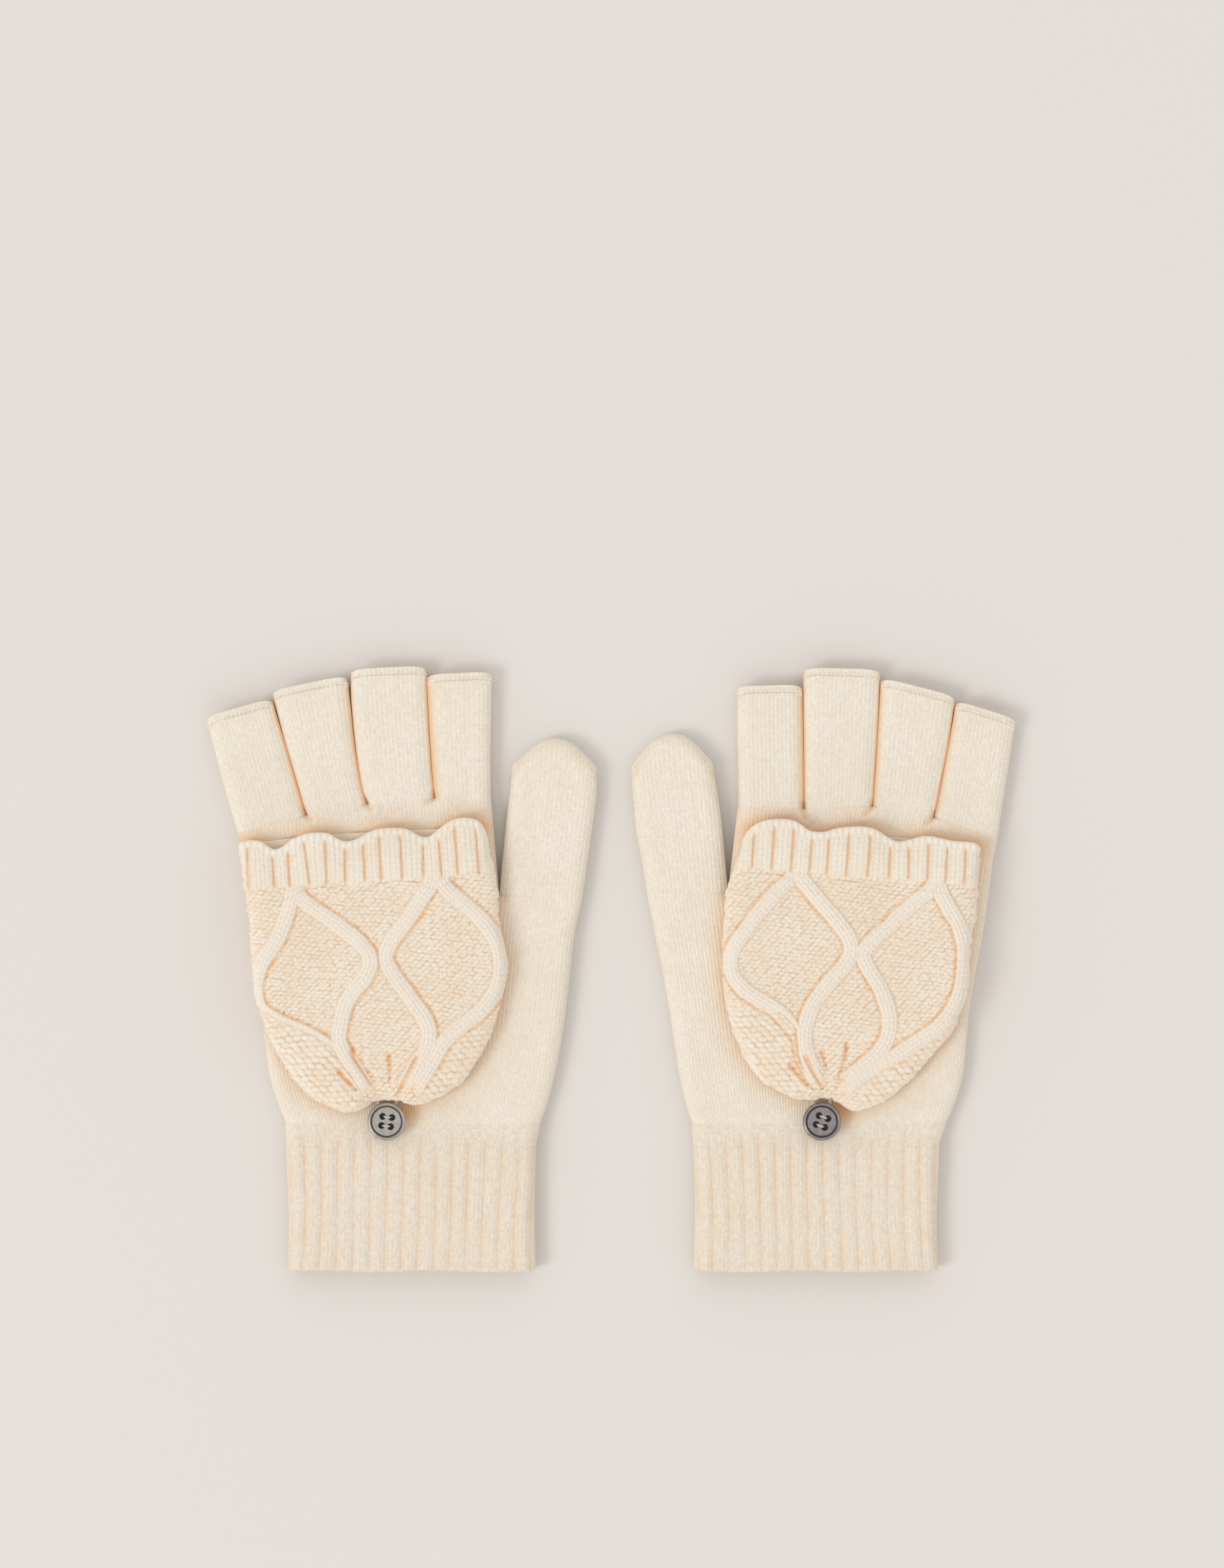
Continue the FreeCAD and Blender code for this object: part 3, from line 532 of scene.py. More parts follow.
def build_hand(side, g, lines, columns, material):
    """The palm and back, up to the digits' base lines."""
    crotch, thumb_end = np.array(g["thumb_crotch"]), np.array(g["thumb_in"][0])
    bases = [np.array(p) for p in [g["little"][0]] + g["crotches"] + [g["index_side"]]]
    widths = np.array([np.linalg.norm(b - a) for a, b in zip(bases, bases[1:])])
    share = np.concatenate([[0], np.cumsum(widths)]) / widths.sum()
    outer_top = side_point(lines["outer"], crotch[1])
    thumb_start = np.array([side_point(lines["gusset"], WRIST)[0] - THUMB_COLUMNS_WIDTH, WRIST])

    def comb(corners):
        """One row of the plan, through its corner points."""
        parts = [np.linspace(a, b, DENSE, endpoint=False) for a, b in zip(corners, corners[1:])]
        return np.vstack(parts + corners[-1:])

    palm, knuckles = [], []
    for t in np.linspace(0, 1, 84 // COARSE):
        left = side_point(lines["outer"], WRIST + t * (outer_top[1] - WRIST))
        right = side_point(lines["gusset"], WRIST + t * (thumb_end[1] - WRIST))
        split = thumb_start * (1 - t) + crotch * t
        palm.append(comb([left + (split - left) * s for s in share] + [right]))
    for t in np.linspace(0, 1, 36 // COARSE):
        left = side_point(lines["outer"], outer_top[1] + t * (bases[0][1] - outer_top[1]))
        right = crotch * (1 - t) + bases[-1] * t
        knots = [(outer_top + (crotch - outer_top) * s) * (1 - t) + b * t for s, b in zip(share, bases)]
        knuckles.append(comb([left] + knots[1:-1] + [right]))
    slits = [lines[n] for n in ("ring", "middle", "index")]
    depth = depth_to(lines["outer"], lines["gusset"], lines["index_side"], lines["thumb_side"], *slits)
    counts = [columns[n] for n in DIGITS]
    main = sum(counts)
    palm = section_rows(np.array(palm), [k * DENSE for k in range(6)], counts + [columns["thumb"]], depth)
    knuckles = section_rows(np.array(knuckles), [k * DENSE for k in range(5)], counts, depth)
    creases = lines["creases"]
    cap_line = np.vstack([smooth_line(g["cap_outer"]), smooth_line(g["cap_tip"])[1:],
                          smooth_line(g["cap_thumb"])[::-1][1:]])
    rim_line = smooth_line(g["rim"])

    # painted tan shade: in the creases between fingers, round the cap's edge, above its rim and beside the button
    def warm(u, v):
        points = np.stack([u, v], -1)
        folds = np.min([nearest(points, c)[0] for c in creases], axis=0)
        round_cap = nearest(points, cap_line)[0]
        over_rim = nearest(points, rim_line)[0]
        return np.clip(0.5 * np.exp(-(folds / 0.7) ** 2) + 0.42 * np.exp(-round_cap / 2.8)
                       + 0.75 * np.exp(-over_rim / 2.6) + beside_button(side, g, u, v), 0, 1)

    fabric = Fabric()
    (top_a, low_a, in_a), (top_b, low_b, in_b) = (
        knit_layers(fabric, rows, 0, depth, warm(rows[..., 0], rows[..., 1]), hooks(creases))
        for rows in (palm, knuckles))
    for outer_layer, inner_layer in ((top_a, in_a[0]), (low_a, in_a[1])):
        fabric.strip(outer_layer[0], inner_layer[0])
        fabric.strip(outer_layer[-1][main:], inner_layer[-1][main:])
    for outer_layer, inner_layer in ((top_b, in_b[0]), (low_b, in_b[1])):
        fabric.strip(outer_layer[-1], inner_layer[-1])
    for inner_a, inner_b in zip(in_a, in_b):
        fabric.strip(inner_a[-1][:main + 1], inner_b[0])
    obj = fabric.build(side + "_hand_knit", side, material, sharp=CREASE)
    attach(obj, side + "_hand")
    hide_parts(side + "_hand")


# how far the warm shade of a slit reaches onto each finger's two sides
SLIT_WARMTH = {"little": (0.1, 1.0), "ring": (0.5, 1.1), "middle": (0.5, 0.6), "index": (1.7, 0.1)}
MOUTH_CORNER = 1.3                   # how far a finger's open end is drawn back at its corners


def mouth_edge(x):
    """How far a finger's open end is moved, from -1 at one corner to 1 at the other."""
    return -MOUTH_CORNER * np.abs(x) ** 7


def build_finger(side, name, lines, first, count, material):
    """One open finger tube, and the rolled edge on its end."""
    left, right = lines[name], lines[name + "_in"]
    rows = 62 // COARSE
    l, r = spaced(left, rows), spaced(right, rows)
    dense = 60
    base, mouth = (l[0] + r[0]) / 2, (l[-1] + r[-1]) / 2
    ahead = (l[-1] + r[-1] - l[0] - r[0]) / np.linalg.norm(l[-1] + r[-1] - l[0] - r[0])
    mouth_line = (np.linspace(l[-1], r[-1], dense + 1)
                  + ahead * mouth_edge(np.linspace(-1, 1, dense + 1))[:, None])
    plan = patch(np.linspace(l[0], r[0], dense + 1), mouth_line, l, r)
    depth = depth_to(left, right)
    slits = [line for line, used in ((left, name != "little"), (right, name != "index")) if used]

    def pressed(points):
        gap = np.min([nearest(points, line)[0] for line in slits], axis=0)
        along = (points - base) @ (mouth - base) / np.linalg.norm(mouth - base)
        return 0.42 * np.exp(-gap / 1.6) * ease(along / 2.5)

    surface = section_rows(plan, [0, dense], [count], depth, pressed)
    reach_left, reach_right = SLIT_WARMTH[name]
    # painted tan shade along the slits where the fingers meet
    warm = np.clip(0.9 * np.exp(-(nearest(surface[..., :2], left)[0] / reach_left) ** 1.5)
                   + 0.9 * np.exp(-(nearest(surface[..., :2], right)[0] / reach_right) ** 1.5), 0, 0.92)
    fabric = Fabric()
    top, low, inner = knit_layers(fabric, surface, first, depth, warm, hooks(lines["creases"]))
    for edge in (0, -1):
        fabric.strip(top[:, edge], low[:, edge])
    for end in (0, -1):
        fabric.strip(top[end], inner[0][end])
        fabric.strip(low[end], inner[1][end])
    obj = fabric.build(f"{side}_{name}_finger_knit", side, material, sharp=CREASE)
    ahead = (mouth - base) / np.linalg.norm(mouth - base)
    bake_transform(obj)
    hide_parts(f"{side}_{name}_finger")
    build_hem(side, name, l[-1], r[-1], ahead, material)


def build_hem(side, name, left, right, ahead, material):
    """The rolled edge on a finger's end, with its whipped stitches."""
    across = right - left
    width = np.linalg.norm(across)
    across = across / width
    middle = (left + right) / 2
    half, high = width / 2 - 0.8, HAND_TOP / 2 - 0.62
    thick, tall, drawn_in = 0.85, 1.25, 0.9
    # a flattened ring: straight above and below, half-round at its two sides
    dense = 720
    turn = np.linspace(0, 2 * math.pi, dense, endpoint=False)
    x = np.sign(np.cos(turn)) * np.abs(np.cos(turn)) ** 0.55 * half
    z = np.sign(np.sin(turn)) * np.abs(np.sin(turn)) ** 0.42 * high
    loop = spaced(np.column_stack([x, z, 0 * x])[list(range(dense)) + [0]], 321 // COARSE)[:-1]
    run = run_of(loop)
    total = run[-1] + np.linalg.norm(loop[0] - loop[-1])
    stitches = round(total / 1.5)
    out = np.roll(loop, -1, 0) - np.roll(loop, 1, 0)
    out = np.column_stack([out[:, 1], -out[:, 0]])
    out /= np.linalg.norm(out, axis=1)[:, None]
    if (out * loop[:, :2]).sum() < 0:
        out = -out
    q = np.linspace(0, 2 * math.pi, 14, endpoint=False)
    phase = 2 * math.pi * stitches * run / total
    wobble = 0.12 * noise(run, run * 0, 4, hash_of(side, name))
    bump = 1 + 0.13 * np.sin(phase[:, None] + 1.3 * np.sin(q)[None]) + wobble[:, None]
    o = thick * np.cos(q)[None] * bump
    a = tall * np.sin(q)[None] * bump - drawn_in
    base = middle[None] + across[None] * loop[:, :1]
    a = a + mouth_edge(np.clip(loop[:, :1] / (half + 0.4), -1, 1))
    plan = base[:, None] + across[None, None] * (out[:, :1] * o)[..., None] + ahead[None, None] * a[..., None]
    height = np.maximum(HAND_TOP / 2 + loop[:, 1:2] + out[:, 1:2] * o, 0.0)
    knit = np.stack([np.broadcast_to(q[None], o.shape), np.broadcast_to(run[:, None], o.shape), 0 * o], -1)
    # painted tan shade between the whipped stitches
    warm = np.clip(0.35 * (1 - bump) / 0.2, 0, 1) * 0.5
    fabric = Fabric()
    index = fabric.add(raised(plan, height), knit, warm)
    fabric.weave(np.concatenate([index, index[:1]], 0), closed=True)
    obj = fabric.build(f"{side}_{name}_finger_edge", side, material)
    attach(obj, f"{side}_{name}")
    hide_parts(f"{side}_{name}_finger_hem")


def hash_of(*words):
    """A seed that is the same each run."""
    return sum(ord(c) * (k + 1) for k, c in enumerate("".join(words))) % 9973


def build_thumb(side, g, lines, first, count, material):
    """The full thumb, rounded and linked at its tip."""
    rows, dense = 84 // COARSE, 80
    base = np.linspace(np.array(g["thumb_crotch"]), np.array(g["thumb_in"][0]), dense + 1)
    tip = spaced(lines["thumb_tip"], dense + 1)
    plan = patch(base, tip, spaced(lines["thumb_side"], rows), spaced(lines["thumb_inner"], rows))
    depth = depth_to(lines["thumb_side"], lines["thumb_inner"], lines["thumb_tip"])
    surface = section_rows(plan, [0, dense], [count], depth)
    # the chain of linked stitches just inside the tip
    gap, along, _ = nearest(surface[..., :2], lines["thumb_tip"])
    shoulder = np.clip(np.abs(along / length_of(lines["thumb_tip"]) - 0.5) * 2.4 - 0.2, 0.35, 1)
    link = 0.5 * np.sin(2 * math.pi * along / 1.7)
    chain = np.exp(-((gap - 1.5) / 0.55) ** 2) * (0.5 + link) * shoulder
    surface[..., 2] += 0.45 * chain * ease(gap / 1.0)
    # painted tan shade beside and between the chain's links
    warm = (0.3 * np.exp(-((gap - 2.4) / 0.5) ** 2) + 0.25 * np.exp(-((gap - 1.5) / 0.7) ** 2)
            * (0.5 - link)) * shoulder
    fabric = Fabric()
    top, low, inner = knit_layers(fabric, surface, first, depth, warm)
    fabric.strip(top[0], inner[0][0])
    fabric.strip(low[0], inner[1][0])
    obj = fabric.build(side + "_thumb_knit", side, material, sharp=CREASE)
    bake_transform(obj)
    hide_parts(side + "_thumb")


def beside_button(side, g, u, v):
    """How much painted tan shadow the knit gets where the button shades it from the light."""
    away = 1 if side == "left" else -1
    bu, bv = g["button"]
    return 0.85 * np.exp(-np.hypot((u - bu - away * 6.2) / 4.6, (v - bv - 2.2) / 4.2) ** 2)


# ---- the ribbed cuff ----
RIB = 5.2                            # width of one rib
CUFF_RIBS = 16
CUFF_RIDGE = 0.55
CUFF_WALL = 1.6
CUFF_INSIDE_ROWS = 6
CUFF_SIDES = {"left": (-34.6, 50.0), "right": (-32.9, 50.3)}    # u of the free edge's two ends


def build_cuff(side, g, lines, material):
    """A hollow tube of ribbing, from its wavy free edge to the wrist."""
    steps, rows = 16 // COARSE, 70 // COARSE
    count = CUFF_RIBS * steps
    t = np.linspace(0, 1, rows)[:, None]
    v = HEM_V + t * (WRIST - HEM_V)
    hem_l, hem_r = CUFF_SIDES[side]
    wrist_l, wrist_r = side_point(lines["outer"], WRIST)[0], side_point(lines["gusset"], WRIST)[0]
    bend = ease((t - 0.84) / 0.16)
    left = hem_l + (0.5 * np.sin(t * 5)) * (1 - bend) + (wrist_l - hem_l) * bend
    right = hem_r - 0.4 * np.sin(t * 4) * (1 - bend) + (wrist_r - hem_r) * bend
    u = left + (right - left) * np.linspace(0, 1, 4 * count + 1)[None]
    fuller = (CUFF_TOP - HAND_TOP) * ease((1 - t) / 0.2)
    thick, middle = HAND_TOP + fuller, HAND_TOP / 2 + fuller / 2
    d = np.minimum(u - left, right - u)
    lift = dome(d, SIDE_ROUND) * thick / 2
    grid = []
    for r in range(rows):
        run = run_of(np.column_stack([u[r], lift[r]]))
        at = np.linspace(0, run[-1], count + 1)
        grid.append(np.stack([np.interp(at, run, u[r]), np.interp(at, run, lift[r]), np.interp(at, run, d[r])], -1))
    u, lift, d = np.moveaxis(np.array(grid), -1, 0)
    v = np.broadcast_to(v, u.shape)
    seed = hash_of(side, "cuff")
    column = np.arange(count + 1)[None] / steps
    lean = 0.13 * np.sin(v / 21 + 0.7) + 0.07 * noise(u, v, 14, seed)
    across = tick(column + lean) * RIB
    strength = ease((1 - t) / 0.2) * (0.85 + 0.3 * noise(u, v, 9, 11))
    groove = np.exp(-(np.abs(across) / 1.05) ** 1.7)
    wales = 0.09 * np.cos(2 * math.pi * across / (RIB / 4) + math.pi)
    rib = (CUFF_RIDGE * (0.35 - groove) + wales) * strength
    hem_bulge = 0.3 * np.exp(-((v - HEM_V) / 1.6) ** 2)
    # painted tan shade in the grooves between ribs and beside the button, with a little random tone
    warm = np.clip(0.27 * groove * strength + 0.05 * noise(u, v, 6, seed) + beside_button(side, g, u, v), 0, 1)
    v = v + np.clip(1 - (v - HEM_V) / 6, 0, 1) * (0.3 * (1 - groove) + 0.3 * noise(u, v * 0, 9, 5))
    fade = ease(lift / 1.0)
    knit = np.stack([np.broadcast_to((column + lean) * RIB, u.shape), v, ease((WRIST - v) / 9)], -1)
    close = ease((v - HEM_V + 0.6) / 0.9)
    narrower = 1 - 2 * CUFF_WALL / (right - left)
    centre = (left + right) / 2
    inner_u = centre + (u - centre) * narrower
    inner_lift = dome(np.clip(d * narrower, 0, None), SIDE_ROUND) * (thick / 2 - CUFF_WALL)
    keep = sorted(set(list(range(0, rows, CUFF_INSIDE_ROWS)) + [rows - 1]))
    fabric = Fabric()
    for sign, relief in ((1, rib + hem_bulge), (-1, UNDERSIDE * (rib - rib.max()))):
        outer_z = middle + sign * (lift + relief * fade)
        inner_z = middle + sign * inner_lift
        edge_z = (outer_z + inner_z) / 2
        outer = fabric.add(np.stack([u, v, edge_z + (outer_z - edge_z) * (0.45 + 0.55 * close)], -1), knit, warm)
        inside = np.stack([inner_u, v, inner_z], -1)[keep]
        inner = fabric.add(inside, knit[keep], np.full(inside.shape[:2], INSIDE_PAINTED_SHADE))
        fabric.weave(outer)
        fabric.weave(inner)
        rim = fabric.add(np.stack([(u[0] + inner_u[0]) / 2, v[0] - 0.55, edge_z[0]], -1), knit[0], warm[0])
        fabric.strip(outer[0], rim, inner[0])
        fabric.strip(outer[-1], inner[-1])
    obj = fabric.build(side + "_cuff_ribbing", side, material, sharp=CREASE)
    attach(obj, side + "_hand")
    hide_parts(side + "_cuff")


# ---- the cap ----
STRAND_HALF = 2.75                   # half the width of a raised strand
STRAND_HEIGHT = 1.05
PURL = (2.05, 1.36)                  # one reverse stitch of the ground, and below of the puffs at the tip
PUFF_PURL = (2.7, 1.95)
BRICK_SHIFT = 0.5
BAND_HEIGHT = 17.0                   # from the foot of the rib band to the cap's mouth
CAP_CROWN = 2.95                     # how far the cap's front rises from its middle height
CAP_ROLL = 1.35                      # radius of the roll at the cap's mouth
BACK_SHRINK = 0.992                  # the back panel keeps this much inside the front's outline
BACK_WALE = 3.0
SEAM_RADIUS = 1.15
# painted tan shade on the cap's lining
LINING_PAINTED_SHADE = 0.35
LIGHT_FROM = np.array([-0.93, -0.37])   # in plan: the folds away from the light look the warmest
# multipliers that turn a stitch's row and column into four random values
STITCH_HASH = ((12.99, 78.23), (39.35, 11.14), (73.16, 52.24), (27.17, 91.7))


def grains(u, v, size, slant, seed):
    """Bumps of reverse stitches, laid like bricks and a little uneven: their height from 0 to 1, and their gaps."""
    width, height = size
    u = u + 0.5 * noise(u, v, 12, seed)
    v = v + 0.7 * noise(u, v, 15, seed + 1)
    tilt = math.radians(-6) * slant
    x, y = u * math.cos(tilt) + v * math.sin(tilt), -u * math.sin(tilt) + v * math.cos(tilt)
    row = np.floor(y / height)
    best = np.zeros_like(u)
    for r in (row - 1, row, row + 1):
        shift = np.where(r % 2 == 0, 0.0, BRICK_SHIFT)
        column = np.floor(x / width - shift)
        for c in (column - 1, column, column + 1):
            one, two, three, four = (np.modf(np.abs(np.sin(r * k + c * m + seed) * 43758.5453))[0] - 0.5
                                     for k, m in STITCH_HASH)
            px = (c + shift + 0.5 + 0.24 * one) * width
            py = (r + 0.5 + 0.24 * two) * height
            lean = math.radians(14) * slant + 0.6 * three
            a = (x - px) * np.cos(lean) + (y - py) * np.sin(lean)
            b = -(x - px) * np.sin(lean) + (y - py) * np.cos(lean)
            r2 = (a / (0.60 * width)) ** 2 + (b / (0.56 * height)) ** 2
            best = np.maximum(best, np.sqrt(np.clip(1 - r2, 0, 1)) * (0.85 + 0.5 * four))
    return best, np.clip(1 - best, 0, 1)


def legs(off, along, half, course, rise=0.45):
    """One column of V stitches: height from 0 to 1. off is the distance from the column's middle."""
    x = np.abs(off) / half
    leg = np.clip(1 - ((x - 0.5) / 0.5) ** 2, 0, 1)
    step = tick(along / course + rise * x)
    return np.sqrt(leg) * np.sqrt(np.clip(1 - (1.9 * step) ** 2, 0, 1))


def strand(points, line, seed):
    """A raised strand of two columns of stitches: its height, how much it covers, the painted tan shade in its
    folds, and the dip with its painted shadow line along its far side from the light."""
    gap, along, hand = nearest(points, line)
    wobble = 0.25 * noise(points[..., 0], points[..., 1], 5, seed)
    x = (gap + wobble) / STRAND_HALF
    cover = ease((1.18 - x) / 0.42)
    body = np.sqrt(np.clip(1 - (x / 1.05) ** 2, 0, 1))
    middle = gap * hand
    column = np.where(middle > 0, middle - STRAND_HALF / 2, middle + STRAND_HALF / 2)
    stitch = legs(column, along + wobble, STRAND_HALF / 2, CABLE_COURSE)
    ends = ease(along / 4) * ease((length_of(line) - along) / 5)
    height = (STRAND_HEIGHT * body + 0.5 * stitch - 0.25) * cover
    fold = 0.34 * (1 - stitch) * cover
    # which way the nearest part of the strand faces here, for the painted shadow line on its side away from the
    # light
    ahead, run = np.gradient(line, axis=0), run_of(line)
    tx, ty = np.interp(along, run, ahead[:, 0]), np.interp(along, run, ahead[:, 1])
    size = np.hypot(tx, ty) + 1e-9
    away = hand * (-ty * LIGHT_FROM[0] + tx * LIGHT_FROM[1]) / size
    facing = 0.14 + 0.86 * ease(0.5 - 0.9 * away)
    uneven = 0.75 + 0.35 * noise(points[..., 0], points[..., 1], 2.5, seed + 3)
    border = np.exp(-((x - 1.12) / 0.2) ** 2) * facing * uneven
    return height * ends, cover * ends, fold, border * ends


def ribs(u, v, g, below_rim, seed):
    """The band's ribs: their height, how deep between them, and where the band is."""
    base, slope = g["band"]
    band_low = base + slope * u + 0.5 * noise(u, u * 0, 4, seed)
    t = np.clip((v - band_low) / BAND_HEIGHT, 0, 1)
    waver = 0.22 * noise(u, v, 3.2, seed + 2)
    lines = [low * (1 - t) + high * t for high, low in g["valleys"]]
    lines = [lines[0] - 5.2] + lines + [lines[-1] + 5.6]
    height, deep = np.zeros_like(u), np.zeros_like(u)
    for k, (a, b) in enumerate(zip(lines, lines[1:])):
        inside = (u >= a) & (u < b)
        wide = np.maximum(b - a, 1e-6)
        x = np.clip((u - a) / wide, 0, 1)
        edge = np.minimum(x, 1 - x) * wide + waver
        body = dome(edge - 0.25, 1.9)
        columns = 2 if wide.mean() < 7.4 else 3
        span = wide / columns
        off = (x * columns - np.floor(x * columns) - 0.5) * span
        stitch = legs(off, v + waver * 2 + 0.37 * k, span / 2, CABLE_COURSE)
        joint = np.exp(-((span / 2 - np.abs(off)) / 0.32) ** 2) * (edge > 0.9)
        rise = 0.45 + 0.55 * body + (0.45 * stitch - 0.1 * joint) * ease(body * 1.6)
        reach = np.clip(0.8 + 0.3 * noise(u, v, 2.2, seed + k), 0.4, 1.2)
        channel = 0.62 * np.exp(-(np.clip(edge, 0, 9) / reach) ** 2) + 0.2 * (1 - stitch)
        height = np.where(inside, rise, height)
        deep = np.where(inside, channel, deep)
    band = ease((v - band_low) / 1.6)
    near_rim = ease((below_rim - 1.4) / 2.2)
    loops = 0.25 * np.sin(2 * math.pi * u / 2.15)
    return height * near_rim + (0.95 + loops) * (1 - near_rim), deep * near_rim, band


def build_cap(side, g, material):
    """The cap's cabled front, its ribbed band and its plain back."""
    step = 0.3 * COARSE
    rim, tip = smooth_line(g["rim"], 0.4), smooth_line(g["cap_tip"], 0.4)
    outer, thumb = smooth_line(g["cap_outer"], 0.4)[::-1], smooth_line(g["cap_thumb"], 0.4)[::-1]
    outer, thumb, tip = (ragged(line, 0.3, 1.3, 7 + k) for k, line in enumerate((outer, thumb, tip)))
    columns, rows = int(88 / step), int(94 / step)
    plan = patch(spaced(tip, columns + 1), spaced(rim, columns + 1), spaced(outer, rows), spaced(thumb, rows))
    side_line = np.vstack([outer[::-1], tip[1:], thumb[1:]])
    u, v = plan[..., 0], plan[..., 1]
    d, below = nearest(plan, side_line)[0], nearest(plan, rim)[0]
    seed = hash_of(side, "cap")
    # the smooth form: a soft pillow that sinks towards its mouth and is gathered at its tip
    form = CAP_CROWN * dome(d, 8.0) - 1.5 * (1 - ease(below / 11)) * ease(d / 5)
    form = form + (0.16 * noise(u, v, 16, seed) + 0.1 * noise(u, v, 7, seed + 5)) * ease(d / 6)
    tip_u, tip_v = g["tip"]
    reach, angle = np.hypot(u - tip_u, v - tip_v), np.arctan2(v - tip_v, u - tip_u)
    gather = np.cos(angle * 10 + 1.2 * noise(angle * 5, reach / 7, 1.0, seed)) * np.exp(-((reach - 9) / 5) ** 2)
    form = form + 0.3 * gather * ease(d / 3) - 1.5 * np.exp(-(reach / 5.5) ** 2)
    # its ground of reverse stitches, with larger and puffed ones at the tip's two corners
    bump, deep = grains(u, v, PURL, g["slant"], seed)
    big, big_deep = grains(u, v, PUFF_PURL, -g["slant"], seed + 31)
    lower = ease((-18 - v) / 5) * ease((np.abs(u - tip_u) - 9) / 4)
    gap, _, hand = nearest(plan, smooth_line(g["strands"][g["puffed"]], 1.2))
    puff = (ease((gap * hand * g["puffed_side"] + 1.6) / 1.6) * ease((-10 - v) / 6)
            * ease((g["puffed_side"] * (u - tip_u) - 6) / 5))
    lower = np.maximum(lower, puff)
    relief = (0.6 * bump) * (1 - lower) + (0.7 * big + 0.5 * puff) * lower
    # painted tan shade in the gaps between the grains
    warm = (0.62 * deep ** 1.3) * (1 - lower) + 0.6 * big_deep ** 1.3 * lower
    # the raised strands
    total_cover, strand_relief = np.zeros_like(u), np.zeros_like(u)
    fold_all, border_all = np.zeros_like(u), np.zeros_like(u)
    for k, points in enumerate(g["strands"]):
        height, cover, fold, border = strand(plan, smooth_line(points, 1.2), seed + k)
        if k == g["puffed"]:
            height, cover, fold = height * (1 - puff), cover * (1 - puff), fold * (1 - puff)
        strand_relief = np.maximum(strand_relief, height)
        total_cover = np.maximum(total_cover, cover)
        fold_all = np.maximum(fold_all, fold)
        border_all = np.maximum(border_all, border)
    border_all = border_all * (1 - total_cover)
    relief = np.maximum(relief * (1 - total_cover), strand_relief + 0.15 * total_cover) - 0.35 * border_all
    # painted tan shade in the strands' folds and their painted shadow lines
    warm = warm * (1 - total_cover) + fold_all + 0.8 * border_all
    # the rib band and the gathers, with painted tan shade in the band's channels and in the gathers' folds
    rib_height, rib_deep, band = ribs(u, v, g, below, seed)
    relief = relief * (1 - band) + rib_height * band
    warm = warm * (1 - band) + 0.85 * rib_deep * band
    pleat = np.zeros_like(u)
    for points in g["gathers"]:
        line = smooth_line(points, 0.6)
        gap, along, _ = nearest(plan, line)
        share = along / length_of(line)
        pleat = np.maximum(pleat, np.exp(-(gap / (0.95 - 0.4 * share)) ** 2) * ease(along / 2.5 + 0.15)
                           * (1.0 - 0.45 * share))
    relief = relief - 1.4 * pleat
    warm = np.clip(warm + 0.75 * pleat, 0, 1)
    # heights, kept under the CAD's cap
    fuzz = 0.07 * noise(u, v, 0.9, seed + 9)
    top_z = CAP_MIDDLE + form + (relief * ease(d / 2.2) + fuzz) - CAP_ROLL * (1 - dome(below, CAP_ROLL))
    soft = 0.5                       # the last part of the height is eased in
    limited = CAP_HIGH - soft + soft * np.tanh((top_z - CAP_HIGH + soft) / soft)
    top_z = np.where(top_z > CAP_HIGH - soft, limited, top_z)
    top_z = np.maximum(top_z, CAP_MIDDLE - 0.35 + 0.35 * np.clip(d, 0, 1))
    low_z = CAP_MIDDLE + np.where(d > CABLE_WALL, np.maximum(form - CABLE_WALL, 0.0), 0.0)
    low_z = np.minimum(low_z, top_z - 0.02 * ease(d))
    # the third part makes the raised strands paler: painted light on them
    knit = np.stack([u, v, 0.55 * total_cover * (1 - band)], -1)
    band_row = int(rows * 0.815)
    under = np.unique(np.linspace(0, columns, 61).astype(int))
    for name, node, a, b in (("cap_front_cables", "cap_front", 0, band_row),
                             ("cap_rib_band_knit", "cap_rib_band", band_row - 1, rows)):
        fabric = Fabric()
        top = fabric.add(raised(plan[a:b], top_z[a:b]), knit[a:b], warm[a:b])
        lining = raised(plan[a:b][:, under], low_z[a:b][:, under])
        low = fabric.add(lining, knit[a:b][:, under], np.full(lining.shape[:2], LINING_PAINTED_SHADE))
        fabric.weave(top)
        fabric.weave(low)
        fabric.zip(top[0], low[0])
        fabric.zip(top[-1], low[-1])
        for edge in (0, -1):
            fabric.strip(top[:, edge], low[:, edge])
        obj = fabric.build(f"{side}_{name}", side, material)
        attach(obj, side + "_cap")
        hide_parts(f"{side}_{node}")
    build_cap_back(side, g, side_line, outer, thumb, tip, material)


